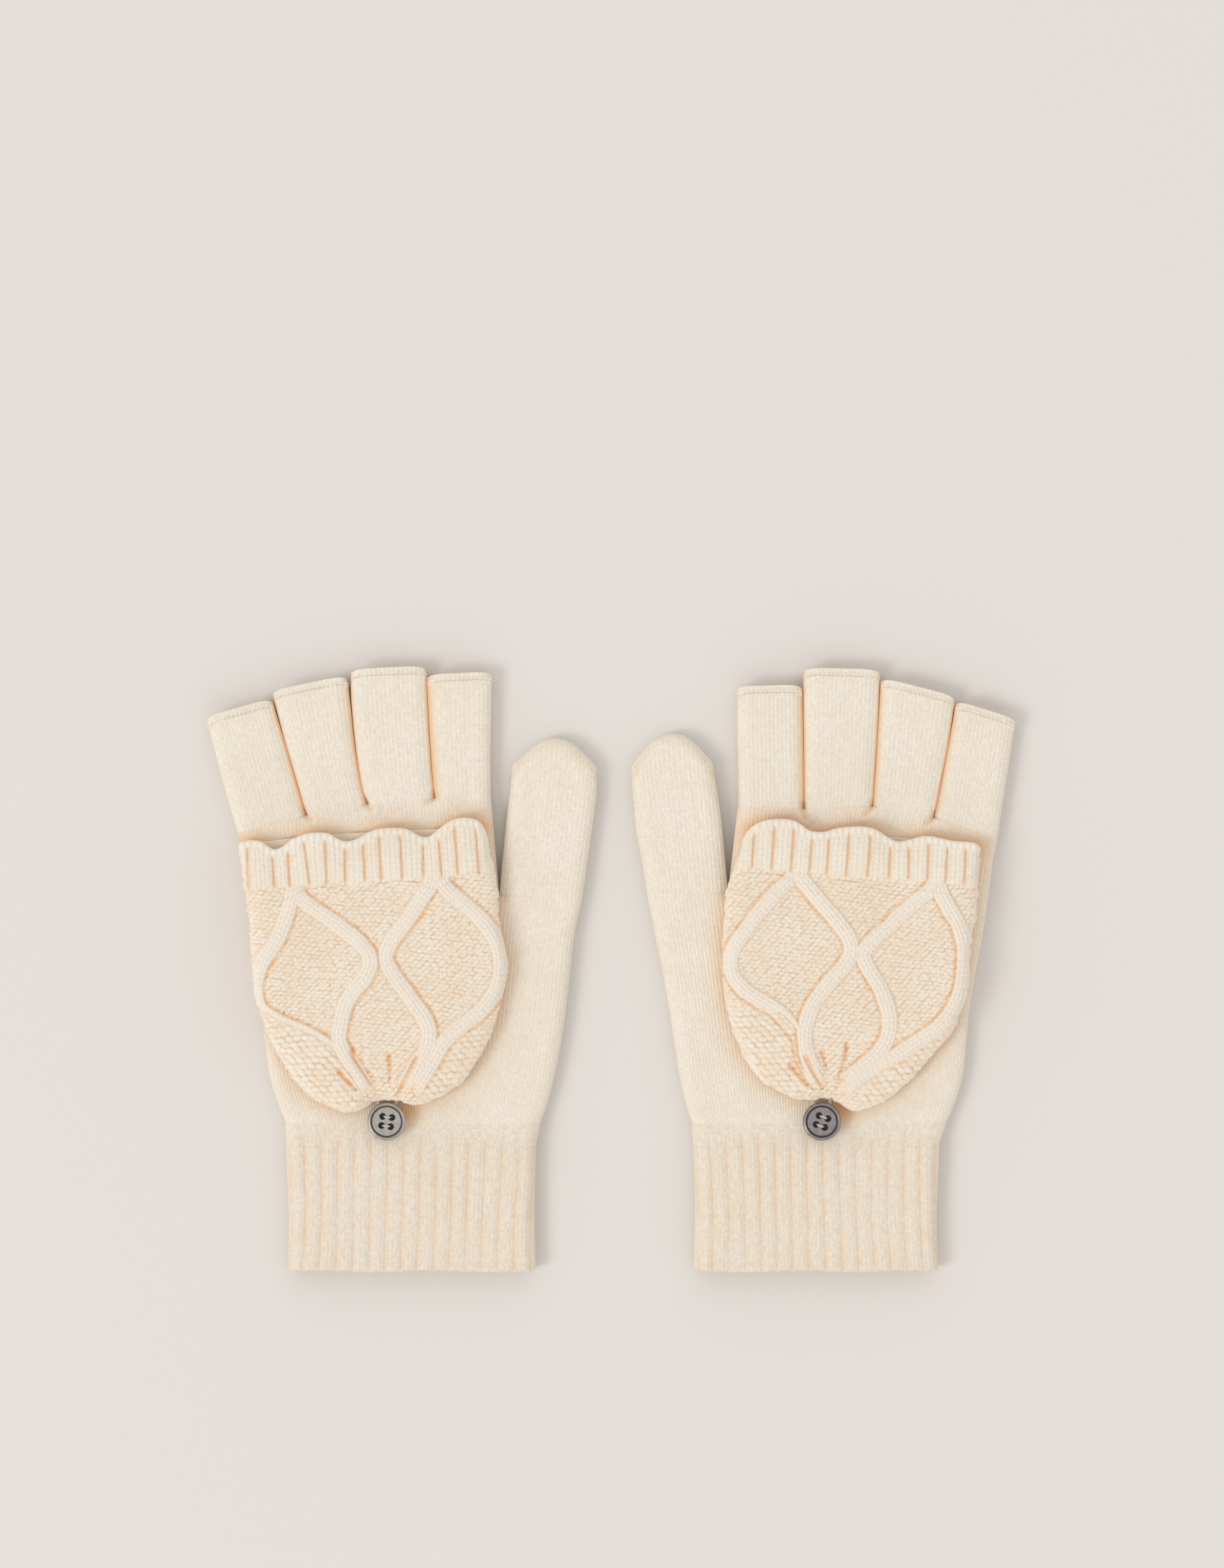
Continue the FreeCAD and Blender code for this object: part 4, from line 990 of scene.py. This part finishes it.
def build_cap_back(side, g, side_line, outer, thumb, tip, material):
    """The cap's other layer, which lies on the hand, and the linked seam that joins it to the hand."""
    step = 0.55 * COARSE
    columns, rows = int(86 / step), int(92 / step)
    a, b = np.array(g["rim"][0]), np.array(g["rim"][-1])
    top = spaced(smooth_line([a, a * 0.7 + b * 0.3 + [0, 1.3], a * 0.3 + b * 0.7 + [0, 1.1], b]), columns + 1)
    plan = patch(spaced(tip, columns + 1), top, spaced(outer, rows), spaced(thumb, rows))
    centre = plan.mean((0, 1))
    plan = centre + (plan - centre) * BACK_SHRINK
    u, v = plan[..., 0], plan[..., 1]
    d = nearest(plan, centre + (side_line - centre) * BACK_SHRINK)[0]
    below = nearest(plan, top)[0]
    form = (CAP_MIDDLE - CAP_LOW - 0.35) * dome(d, 6.5) - 0.25 * ease(below / 8)
    x = np.abs(tick(u / BACK_WALE))
    y = tick(v / CABLE_COURSE + 0.5 * (x * 2))
    stitch = np.clip(1 - ((x - 0.25) / 0.25) ** 2, 0, 1) * (1 - (2 * y) ** 2)
    # painted tan shade between the stitches
    warm = np.clip(0.6 * (1 - stitch) ** 2, 0, 1)
    low_z = CAP_MIDDLE - form - (0.45 * stitch - 0.3) * ease(d / 2.5)
    low_z = np.maximum(low_z, CAP_LOW - 0.05)
    top_z = np.maximum(CAP_MIDDLE - np.maximum(form - CABLE_WALL, 0) * ease((d - 1) / 2) - 0.05, low_z + 0.05)
    knit = np.stack([u, v, 0 * u], -1)
    fabric = Fabric()
    lower = fabric.add(raised(plan, low_z), knit, warm)
    upper = fabric.add(raised(plan, top_z), knit, np.full(u.shape, LINING_PAINTED_SHADE))
    fabric.weave(lower)
    fabric.weave(upper)
    for edge in (0, -1):
        fabric.strip(lower[edge], upper[edge])
        fabric.strip(lower[:, edge], upper[:, edge])
    obj = fabric.build(side + "_cap_back_knit", side, material)
    along = (b - a) / np.linalg.norm(b - a)
    behind = np.array([along[1], -along[0]])
    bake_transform(obj)
    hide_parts(side + "_cap_back")
    # the linked ridge between the cap and the hand
    ridge = np.linspace(a + along * 4 + behind * 1.2, b - along * 3 + behind * 1.2, 360 // COARSE)
    run = np.linspace(0, np.linalg.norm(ridge[-1] - ridge[0]), len(ridge))
    waved = ridge + behind[None] * 0.2 * np.sin(run[:, None] * 1.1)
    ends = np.minimum(1, ease((run + 1.5) / 3) * ease((run[-1] - run + 1.5) / 3) + 0.2)
    radius = SEAM_RADIUS * (0.9 + 0.16 * np.sin(2 * math.pi * run / 2.1)) * ends
    fabric = Fabric()
    sweep(fabric, raised(waved, np.full(len(ridge), HAND_TOP + 0.85)), radius, 12, warm=0.3)
    obj = fabric.build(side + "_cap_seam_linking", side, material)
    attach(obj, side + "_hand")
    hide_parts(side + "_cap_seam")


# ---- the button, its thread and the loop round it ----
# radius and height of each ring of the turned disc, from the middle of its back to the middle of its face
DISC_PROFILE = [(0, 0), (2.0, 0), (4.2, 0), (5.6, 0.02), (6.15, 0.25), (6.42, 0.62), (6.5, 1.05), (6.5, 1.5),
                (6.44, 1.86), (6.28, 2.18), (6.05, 2.4), (5.82, 2.46), (5.6, 2.36), (5.42, 2.12), (5.32, 1.8),
                (5.27, 1.45), (5.2, 1.27), (5.08, 1.25), (5.0, 1.34), (4.95, 1.5), (4.86, 1.62), (4.7, 1.67),
                (4.5, 1.66), (4.1, 1.63), (3.6, 1.6), (3.0, 1.58), (2.4, 1.56), (1.8, 1.55), (1.2, 1.55),
                (0.6, 1.55), (0, 1.55)]
# the same for a hole, from its thin floor, which closes the hole and is coloured dark as painted shade, to above the
# face
HOLE_PROFILE = [(0.98, 0.12), (1.0, 0.3), (1.0, 1.25), (1.05, 1.42), (1.2, 1.58), (1.32, 2.6)]
HOLE_OFF = 1.55                      # of each hole's middle from the disc's two middle lines
DISC_SIDES, HOLE_SIDES = 144, 40
BUTTON_TURN = {"left": -7.4, "right": -19.5}    # degrees that the rows of holes are turned in the photo


def shell(profile, sides, x=0.0, y=0.0):
    """Rings of corner points at each radius and height of a profile, joined by faces; a radius of 0 is one point."""
    bm = bmesh.new()
    rings = []
    for r, z in profile:
        turns = [2 * math.pi * k / sides for k in range(sides)] if r else [0.0]
        rings.append([bm.verts.new((x + r * math.cos(t), y + r * math.sin(t), z)) for t in turns])
    for a, b in zip(rings, rings[1:]):
        for k in range(sides):
            n = (k + 1) % sides
            if len(a) == 1:
                bm.faces.new((a[0], b[n], b[k]))
            elif len(b) == 1:
                bm.faces.new((a[k], a[n], b[0]))
            else:
                bm.faces.new((a[k], a[n], b[n], b[k]))
    return bm, rings


def plain_object(name, bm):
    """The object that a bmesh makes."""
    mesh = bpy.data.meshes.new(name)
    bm.to_mesh(mesh)
    bm.free()
    obj = bpy.data.objects.new(name, mesh)
    bpy.context.scene.collection.objects.link(obj)
    return obj


def build_button(side, g, metal, thread, yarn):
    """The disc with its four holes, its stitches, and the cap's loop round it."""
    low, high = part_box(side + "_button")
    centre = (low + high) / 2
    turn = math.radians(BUTTON_TURN[side])
    c, s = math.cos(turn), math.sin(turn)
    bm, _ = shell(DISC_PROFILE, DISC_SIDES)
    bmesh.ops.recalc_face_normals(bm, faces=bm.faces)
    disc = plain_object(side + "_button_disc", bm)
    cutters = []
    for x in (-HOLE_OFF, HOLE_OFF):
        for y in (-HOLE_OFF, HOLE_OFF):
            hole, rings = shell(HOLE_PROFILE, HOLE_SIDES, x, y)
            hole.faces.new(rings[0][::-1])
            hole.faces.new(rings[-1])
            cutters.append(plain_object("cutter", hole))
            cut = disc.modifiers.new("hole", "BOOLEAN")
            cut.operation, cut.solver, cut.object = "DIFFERENCE", "EXACT", cutters[-1]
    bpy.context.view_layer.update()
    solved = bpy.data.meshes.new_from_object(disc.evaluated_get(bpy.context.evaluated_depsgraph_get()))
    disc.modifiers.clear()
    disc.data = solved
    for cutter in cutters:
        bpy.data.objects.remove(cutter)
    co = np.array([v.co for v in solved.vertices])
    turned = np.column_stack([co[:, 0] * c - co[:, 1] * s, co[:, 0] * s + co[:, 1] * c, co[:, 2]])
    world = turned * MM + np.array([centre.x, centre.y, low.z])
    solved.vertices.foreach_set("co", world.astype(np.float32).ravel())
    at = solved.attributes.new("knit", "FLOAT_VECTOR", "POINT")    # the place on the disc, for its material
    at.data.foreach_set("vector", co.astype(np.float32).ravel())
    solved.shade_smooth()
    solved.set_sharp_from_angle(angle=math.radians(38))
    solved.materials.clear()
    solved.materials.append(metal)
    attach(disc, side + "_button")
    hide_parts(side + "_button")

    def to_plan(points):
        """From the button's own axes to the glove's plan."""
        p = np.asarray(points, float)
        x, y = p[..., 0] * c - p[..., 1] * s, p[..., 0] * s + p[..., 1] * c
        if side == "right":
            x = -x
        return np.stack([g["button"][0] + x, g["button"][1] + y, p[..., 2]], -1)

    # four strands through each pair of holes, and the wound shank with its core
    under = low.z / MM
    rng = np.random.RandomState(hash_of(side, "thread"))
    fabric = Fabric()
    for y in (-HOLE_OFF, HOLE_OFF):
        for k in range(4):
            off = y + (k - 1.5) * 0.2
            rise = 1.8 + 0.16 * rng.rand() + (0.1 if k in (1, 2) else 0)
            a, b = 0.66 + 0.22 * rng.rand(), 0.66 + 0.22 * rng.rand()
            inner = off * 0.5 + y * 0.5
            pts = [(0.2 - HOLE_OFF, y, 0.2), (0.35 - HOLE_OFF, inner, 1.1), (-a, off, rise - 0.12),
                   (0, off + 0.1 * rng.randn(), rise),
                   (b, off, rise - 0.1), (HOLE_OFF - 0.35, inner, 1.1), (HOLE_OFF - 0.2, y, 0.2)]
            sweep(fabric, smooth_line(to_plan([(p[0], p[1], under + p[2]) for p in pts]), 0.12), 0.1)
    turns = 7
    angle = np.linspace(0, 2 * math.pi * turns, 40 * turns)
    climb = np.linspace(HAND_TOP - 0.2, under + 0.1, len(angle))
    sweep(fabric, to_plan(np.column_stack([1.0 * np.cos(angle), 1.0 * np.sin(angle), climb])), 0.3)
    core = np.column_stack([np.zeros(8), np.zeros(8), np.linspace(HAND_TOP - 0.4, under + 0.25, 8)])
    sweep(fabric, to_plan(core), 0.9, 12)
    obj = fabric.build(side + "_button_stitches", side, thread, weld=0.0005)
    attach(obj, side + "_button")
    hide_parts(side + "_button_thread")

    # the loop: half of its line, mirrored, then two plies twisted round it
    lo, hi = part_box(side + "_button_loop")
    loop_z = (lo.z + hi.z) / 2 / MM
    bu, bv = g["button"]
    half = [(3.4, 9.0, 1.6), (2.7, 6.2, 0.4), (2.4, 2.0, 0.0), (1.7, -1.7, 0.0)]
    pts = ([(bu - x, bv + y, loop_z + z) for x, y, z in half] + [(bu, bv - 2.5, loop_z)]
           + [(bu + x, bv + y, loop_z + z) for x, y, z in half[::-1]])
    line = smooth_line(pts, 0.22)
    run = run_of(line)
    ahead = np.gradient(line, axis=0)
    ahead /= np.linalg.norm(ahead, axis=1)[:, None]
    n1 = np.cross(ahead, [0, 0, 1.0])
    n1 /= np.linalg.norm(n1, axis=1)[:, None]
    n2 = np.cross(ahead, n1)
    fabric = Fabric()
    for ply in range(2):
        q = 2 * math.pi * run / 3.2 + math.pi * ply
        sweep(fabric, line + 0.36 * (n1 * np.cos(q)[:, None] + n2 * np.sin(q)[:, None]), 0.42, 10, warm=0.25)
    obj = fabric.build(side + "_button_loop_yarn", side, yarn, weld=0.0005)
    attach(obj, side + "_cap")
    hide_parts(side + "_button_loop")


# ---- materials ----
class Nodes:
    """Short names for the node tree of one material."""

    def __init__(self, name):
        self.material = bpy.data.materials.new(name)
        self.material.use_nodes = True
        self.tree = self.material.node_tree
        self.shader = self.tree.nodes["Principled BSDF"]

    def node(self, kind, **values):
        made = self.tree.nodes.new(kind)
        for key, value in values.items():
            setattr(made, key, value)
        return made

    def link(self, source, target):
        if isinstance(source, (int, float)):
            target.default_value = source
        elif isinstance(source, tuple):
            target.default_value = (*source, 1.0) if len(source) == 3 and target.type == "RGBA" else source
        else:
            self.tree.links.new(source, target)

    def math(self, operation, a, b=0.0, c=0.0):
        made = self.node("ShaderNodeMath", operation=operation)
        for value, target in zip((a, b, c), made.inputs):
            self.link(value, target)
        return made.outputs[0]

    def mix(self, amount, a, b):
        made = self.node("ShaderNodeMix", data_type="RGBA")
        self.link(amount, made.inputs[0])
        self.link(a, made.inputs[6])
        self.link(b, made.inputs[7])
        return made.outputs[2]

    def noise(self, vector, scale, detail=2.0, rough=0.5):
        made = self.node("ShaderNodeTexNoise")
        self.link(vector, made.inputs["Vector"])
        made.inputs["Scale"].default_value = scale
        made.inputs["Detail"].default_value = detail
        made.inputs["Roughness"].default_value = rough
        return made.outputs["Fac"]

    def span(self, value, low, high, to_low=0.0, to_high=1.0):
        made = self.node("ShaderNodeMapRange")
        self.link(value, made.inputs[0])
        for k, number in enumerate((low, high, to_low, to_high)):
            made.inputs[k + 1].default_value = number
        return made.outputs[0]

    def attribute(self, name, output):
        return self.node("ShaderNodeAttribute", attribute_name=name).outputs[output]

    def split(self, vector):
        """A vector's three parts."""
        made = self.node("ShaderNodeSeparateXYZ")
        self.link(vector, made.inputs[0])
        return made.outputs

    def join(self, x, y=0.0):
        made = self.node("ShaderNodeCombineXYZ")
        self.link(x, made.inputs[0])
        self.link(y, made.inputs[1])
        return made.outputs[0]

    def length(self, vector):
        made = self.node("ShaderNodeVectorMath", operation="LENGTH")
        self.link(vector, made.inputs[0])
        return made.outputs["Value"]

    def off_middle(self, value, middle):
        """How far a value is from middle."""
        return self.math("ABSOLUTE", self.math("SUBTRACT", value, middle))

    def bump(self, height, strength, distance, normal=None):
        made = self.node("ShaderNodeBump")
        made.inputs["Strength"].default_value = strength
        made.inputs["Distance"].default_value = distance
        self.link(height, made.inputs["Height"])
        if normal is not None:
            self.link(normal, made.inputs["Normal"])
        return made.outputs[0]


def linear(r, g, b):
    """A screen colour, from 0 to 255, as the numbers that a shader takes."""
    return tuple(c / 12.92 if c <= 0.04045 else ((c + 0.055) / 1.055) ** 2.4 for c in (r / 255, g / 255, b / 255))


def knit_material(name, light, dark, shade, wale, course, painted_gap_shade_and_tone, fibre, sheen=0.35):
    """Wool-like knit: stitches from the knit's own coordinates, painted tan shade in folds, flecks, fibres and a
    soft sheen.
    """
    n = Nodes(name)
    knit = n.split(n.attribute("knit", "Vector"))
    warm = n.attribute("warm", "Fac")
    place_in = n.node("ShaderNodeTexCoord").outputs["Object"]
    # V stitches: two slanting legs to a column
    across = n.off_middle(n.math("FRACT", n.math("DIVIDE", knit[0], wale)), 0.5)
    rise = n.math("MULTIPLY_ADD", across, 1.15, n.math("DIVIDE", knit[1], course))
    row = n.off_middle(n.math("FRACT", rise), 0.5)
    leg = n.math("SUBTRACT", 1.0, n.math("MULTIPLY", n.off_middle(across, 0.25), 3.6))
    stitch = n.math("MULTIPLY", leg, n.math("SUBTRACT", 1.0, n.math("MULTIPLY", row, 1.5)))
    # colour: clouds, pale and warm flecks, and painted shade in the gaps between stitches, a little different from
    # one to the next
    fleck = n.noise(place_in, 1500, 2.0, 0.6)
    fibres = n.noise(place_in, 3200, 2.0, 0.7)
    base = n.mix(n.span(n.noise(place_in, 60, 3.0), 0.35, 0.68), dark, light)
    base = n.mix(n.math("MULTIPLY", n.span(fleck, 0.56, 0.74), 0.5), base, PALE_FLECK)
    base = n.mix(n.math("MULTIPLY", n.span(fleck, 0.44, 0.3), 0.32), base, WARM_FLECK_AND_PAINTED_SHADE)
    base = n.mix(knit[2], base, shade)
    half_column = n.math("FLOOR", n.math("MULTIPLY", n.math("DIVIDE", knit[0], wale), 2.0))
    chance = n.node("ShaderNodeTexWhiteNoise", noise_dimensions="3D")
    n.link(n.join(half_column, n.math("FLOOR", rise)), chance.inputs["Vector"])
    # painted shade in the gaps between stitches, and a random darker tone per stitch
    gaps = n.math("MULTIPLY", n.math("SUBTRACT", 1.0, stitch), painted_gap_shade_and_tone)
    gaps = n.math("MULTIPLY_ADD", chance.outputs["Value"], painted_gap_shade_and_tone * 0.7, gaps)
    base = n.mix(gaps, base, PAINTED_STITCH_GAP_SHADE_AND_TONE)
    # painted tan shade, from the mesh's attribute
    n.link(n.mix(warm, base, WARM_FLECK_AND_PAINTED_SHADE), n.shader.inputs["Base Color"])
    n.link(n.span(fibres, 0.3, 0.7, 0.78, 0.98), n.shader.inputs["Roughness"])
    n.link(n.bump(stitch, 0.6, 0.00012, n.bump(fibres, 0.5, fibre)), n.shader.inputs["Normal"])
    n.shader.inputs["Specular IOR Level"].default_value = 0.25
    n.shader.inputs["Sheen Weight"].default_value = sheen
    n.shader.inputs["Sheen Roughness"].default_value = 0.55
    n.shader.inputs["Sheen Tint"].default_value = (1.0, 0.97, 0.91, 1.0)
    return n.material


def metal_material(name, face, edge):
    """Turned and lightly worn metal, with painted shade dark in its holes and darker in its groove."""
    n = Nodes(name)
    local = n.attribute("knit", "Vector")
    x, y, z = n.split(local)
    lines = n.noise(n.join(n.length(local)), 22, 3.0, 0.7)
    grain = n.noise(local, 16, 2.0, 0.7)
    base = n.mix(n.span(n.noise(local, 0.7, 3.0), 0.35, 0.65), face, edge)
    worn = tuple(min(1.0, c * 1.25) for c in edge)
    base = n.mix(n.math("MULTIPLY", n.span(grain, 0.55, 0.75), 0.25), base, worn)
    out = n.length(n.join(x, y))
    # painted shade: the hole walls and floors dark and not metallic; the groove darker too
    hole = n.math("MULTIPLY", n.span(z, 1.5, 1.36), n.span(out, 4.2, 4.0))
    groove = n.math("MULTIPLY", n.span(out, 4.84, 5.0), n.span(out, 5.42, 5.28))
    dark = n.math("MAXIMUM", hole, n.math("MULTIPLY", groove, 0.62))
    n.link(n.mix(dark, base, PAINTED_HOLE_SHADE_AND_GROOVE_DARK), n.shader.inputs["Base Color"])
    n.link(n.span(dark, 0, 1, 0.85, 0.1), n.shader.inputs["Metallic"])
    rough = n.span(lines, 0.3, 0.7, METAL_ROUGH - 0.05, METAL_ROUGH + 0.08)
    n.link(n.math("ADD", rough, n.math("MULTIPLY", grain, 0.06)), n.shader.inputs["Roughness"])
    n.link(n.bump(lines, 0.25, 0.00004), n.shader.inputs["Normal"])
    return n.material


def thread_material():
    """Pale, slightly glossy sewing thread with a twist."""
    n = Nodes("sewing_thread")
    around, along, _ = n.split(n.attribute("knit", "Vector"))
    twist = n.math("SINE", n.math("ADD", n.math("MULTIPLY", around, 12.0), n.math("MULTIPLY", along, 9.0)))
    n.link(n.mix(n.span(twist, -1, 1), linear(222, 218, 214), linear(252, 250, 248)), n.shader.inputs["Base Color"])
    n.shader.inputs["Roughness"].default_value = 0.32
    n.shader.inputs["Transmission Weight"].default_value = 0.25
    n.link(n.bump(twist, 0.5, 0.00005), n.shader.inputs["Normal"])
    return n.material


def floor_material():
    """Smooth pale paper."""
    n = Nodes("paper_floor")
    place_in = n.node("ShaderNodeTexCoord").outputs["Object"]
    cloudy = tuple(c * 0.992 for c in FLOOR_COLOUR)
    n.link(n.mix(n.noise(place_in, 3.0, 2.0), FLOOR_COLOUR, cloudy), n.shader.inputs["Base Color"])
    n.shader.inputs["Roughness"].default_value = 0.9
    n.shader.inputs["Specular IOR Level"].default_value = 0.1
    return n.material


FLOOR_COLOUR = (0.800, 0.768, 0.738)
WARM_FLECK_AND_PAINTED_SHADE = linear(238, 190, 138)         # painted tan shade in folds and between stitches, in place of light that has gone through the yarn; also the warm flecks
# painted shade in the gaps between stitches, and a random darker tone from stitch to stitch
PAINTED_STITCH_GAP_SHADE_AND_TONE = linear(225, 208, 183)
PALE_FLECK = linear(250, 243, 228)
# painted shade in the button's holes, and the darker colour of its groove
PAINTED_HOLE_SHADE_AND_GROOVE_DARK = linear(52, 38, 30)
METAL_ROUGH = 0.30
fine = knit_material("fine_knit", linear(255, 251, 243), linear(250, 245, 233), linear(246, 241, 230),
                     WALE, COURSE, 0.42, 0.00007)
ribbed = knit_material("ribbed_knit", linear(255, 254, 248), linear(252, 248, 240), linear(248, 244, 236),
                       RIB / 4, COURSE, 0.56, 0.00009)
cabled = knit_material("cable_knit", linear(245, 239, 227), linear(242, 233, 217), linear(245, 240, 230),
                       2.55, CABLE_COURSE, 0.0, 0.00016, 0.5)
pewter = metal_material("pewter", linear(172, 166, 162), linear(192, 185, 179))
gunmetal = metal_material("gunmetal", linear(143, 136, 136), linear(163, 156, 156))
thread = thread_material()

# ---- the two gloves ----
for side, g in GLOVES.items():
    lines = glove_lines(g)
    columns = {"thumb": WALE_STEPS * round(THUMB_WIDTH / WALE)}
    for name in DIGITS:
        width = np.linalg.norm(np.array(g[name][0]) - np.array(g[name + "_in"][0]))
        columns[name] = WALE_STEPS * round(width / WALE)
    build_hand(side, g, lines, columns, fine)
    first = 0
    for name in DIGITS:
        build_finger(side, name, lines, first, columns[name], fine)
        first += columns[name]
    build_thumb(side, g, lines, first, columns["thumb"], fine)
    build_cuff(side, g, lines, ribbed)
    build_cap(side, g, cabled)
    build_button(side, g, pewter if side == "left" else gunmetal, thread, cabled)

# ---- floor, light and camera ----
FLOOR_HALF, FLOOR_Z = 6, -0.0004     # just under the knit, so that the two don't share a plane
floor_mesh = bpy.data.meshes.new("floor")
floor_mesh.from_pydata([(-FLOOR_HALF, -FLOOR_HALF, FLOOR_Z), (FLOOR_HALF, -FLOOR_HALF, FLOOR_Z),
                        (FLOOR_HALF, FLOOR_HALF, FLOOR_Z), (-FLOOR_HALF, FLOOR_HALF, FLOOR_Z)], [], [(0, 1, 2, 3)])
floor = bpy.data.objects.new("floor", floor_mesh)
bpy.context.scene.collection.objects.link(floor)
floor_mesh.materials.append(floor_material())

world = bpy.data.worlds.new("studio")
world.use_nodes = True
world.node_tree.nodes["Background"].inputs["Color"].default_value = (1.0, 0.985, 0.965, 1.0)
world.node_tree.nodes["Background"].inputs["Strength"].default_value = 0.80
bpy.context.scene.world = world

key_light = bpy.data.lights.new("key", "AREA")    # a large softbox, far off so that the floor is lit evenly
key_light.shape, key_light.size = "SQUARE", 3.4
key_light.energy, key_light.color = 235.0, (1.0, 0.99, 0.97)
key = bpy.data.objects.new("key", key_light)
key.location = (-6.0, -2.7, 7.0)
key.rotation_euler = (-key.location).to_track_quat("-Z", "Y").to_euler()
bpy.context.scene.collection.objects.link(key)

PHOTO_HEIGHT = 0.535                 # of what the picture shows, on the table
CAMERA_HEIGHT = 1.6
SENSOR = 36.0
CAMERA_OFF = (-0.0011, 0.1652)       # from the middle of the object's width, and from its near edge
camera_data = bpy.data.cameras.new("camera")
camera_data.sensor_fit = "VERTICAL"
camera_data.sensor_width = camera_data.sensor_height = SENSOR
camera_data.lens = SENSOR * CAMERA_HEIGHT / PHOTO_HEIGHT
camera = bpy.data.objects.new("camera", camera_data)
centre = (cad_low + cad_high) / 2
camera.location = (centre.x + CAMERA_OFF[0], cad_low.y + CAMERA_OFF[1], CAMERA_HEIGHT)
bpy.context.scene.collection.objects.link(camera)
bpy.context.scene.camera = camera
bpy.context.scene.view_settings.view_transform = "Standard"
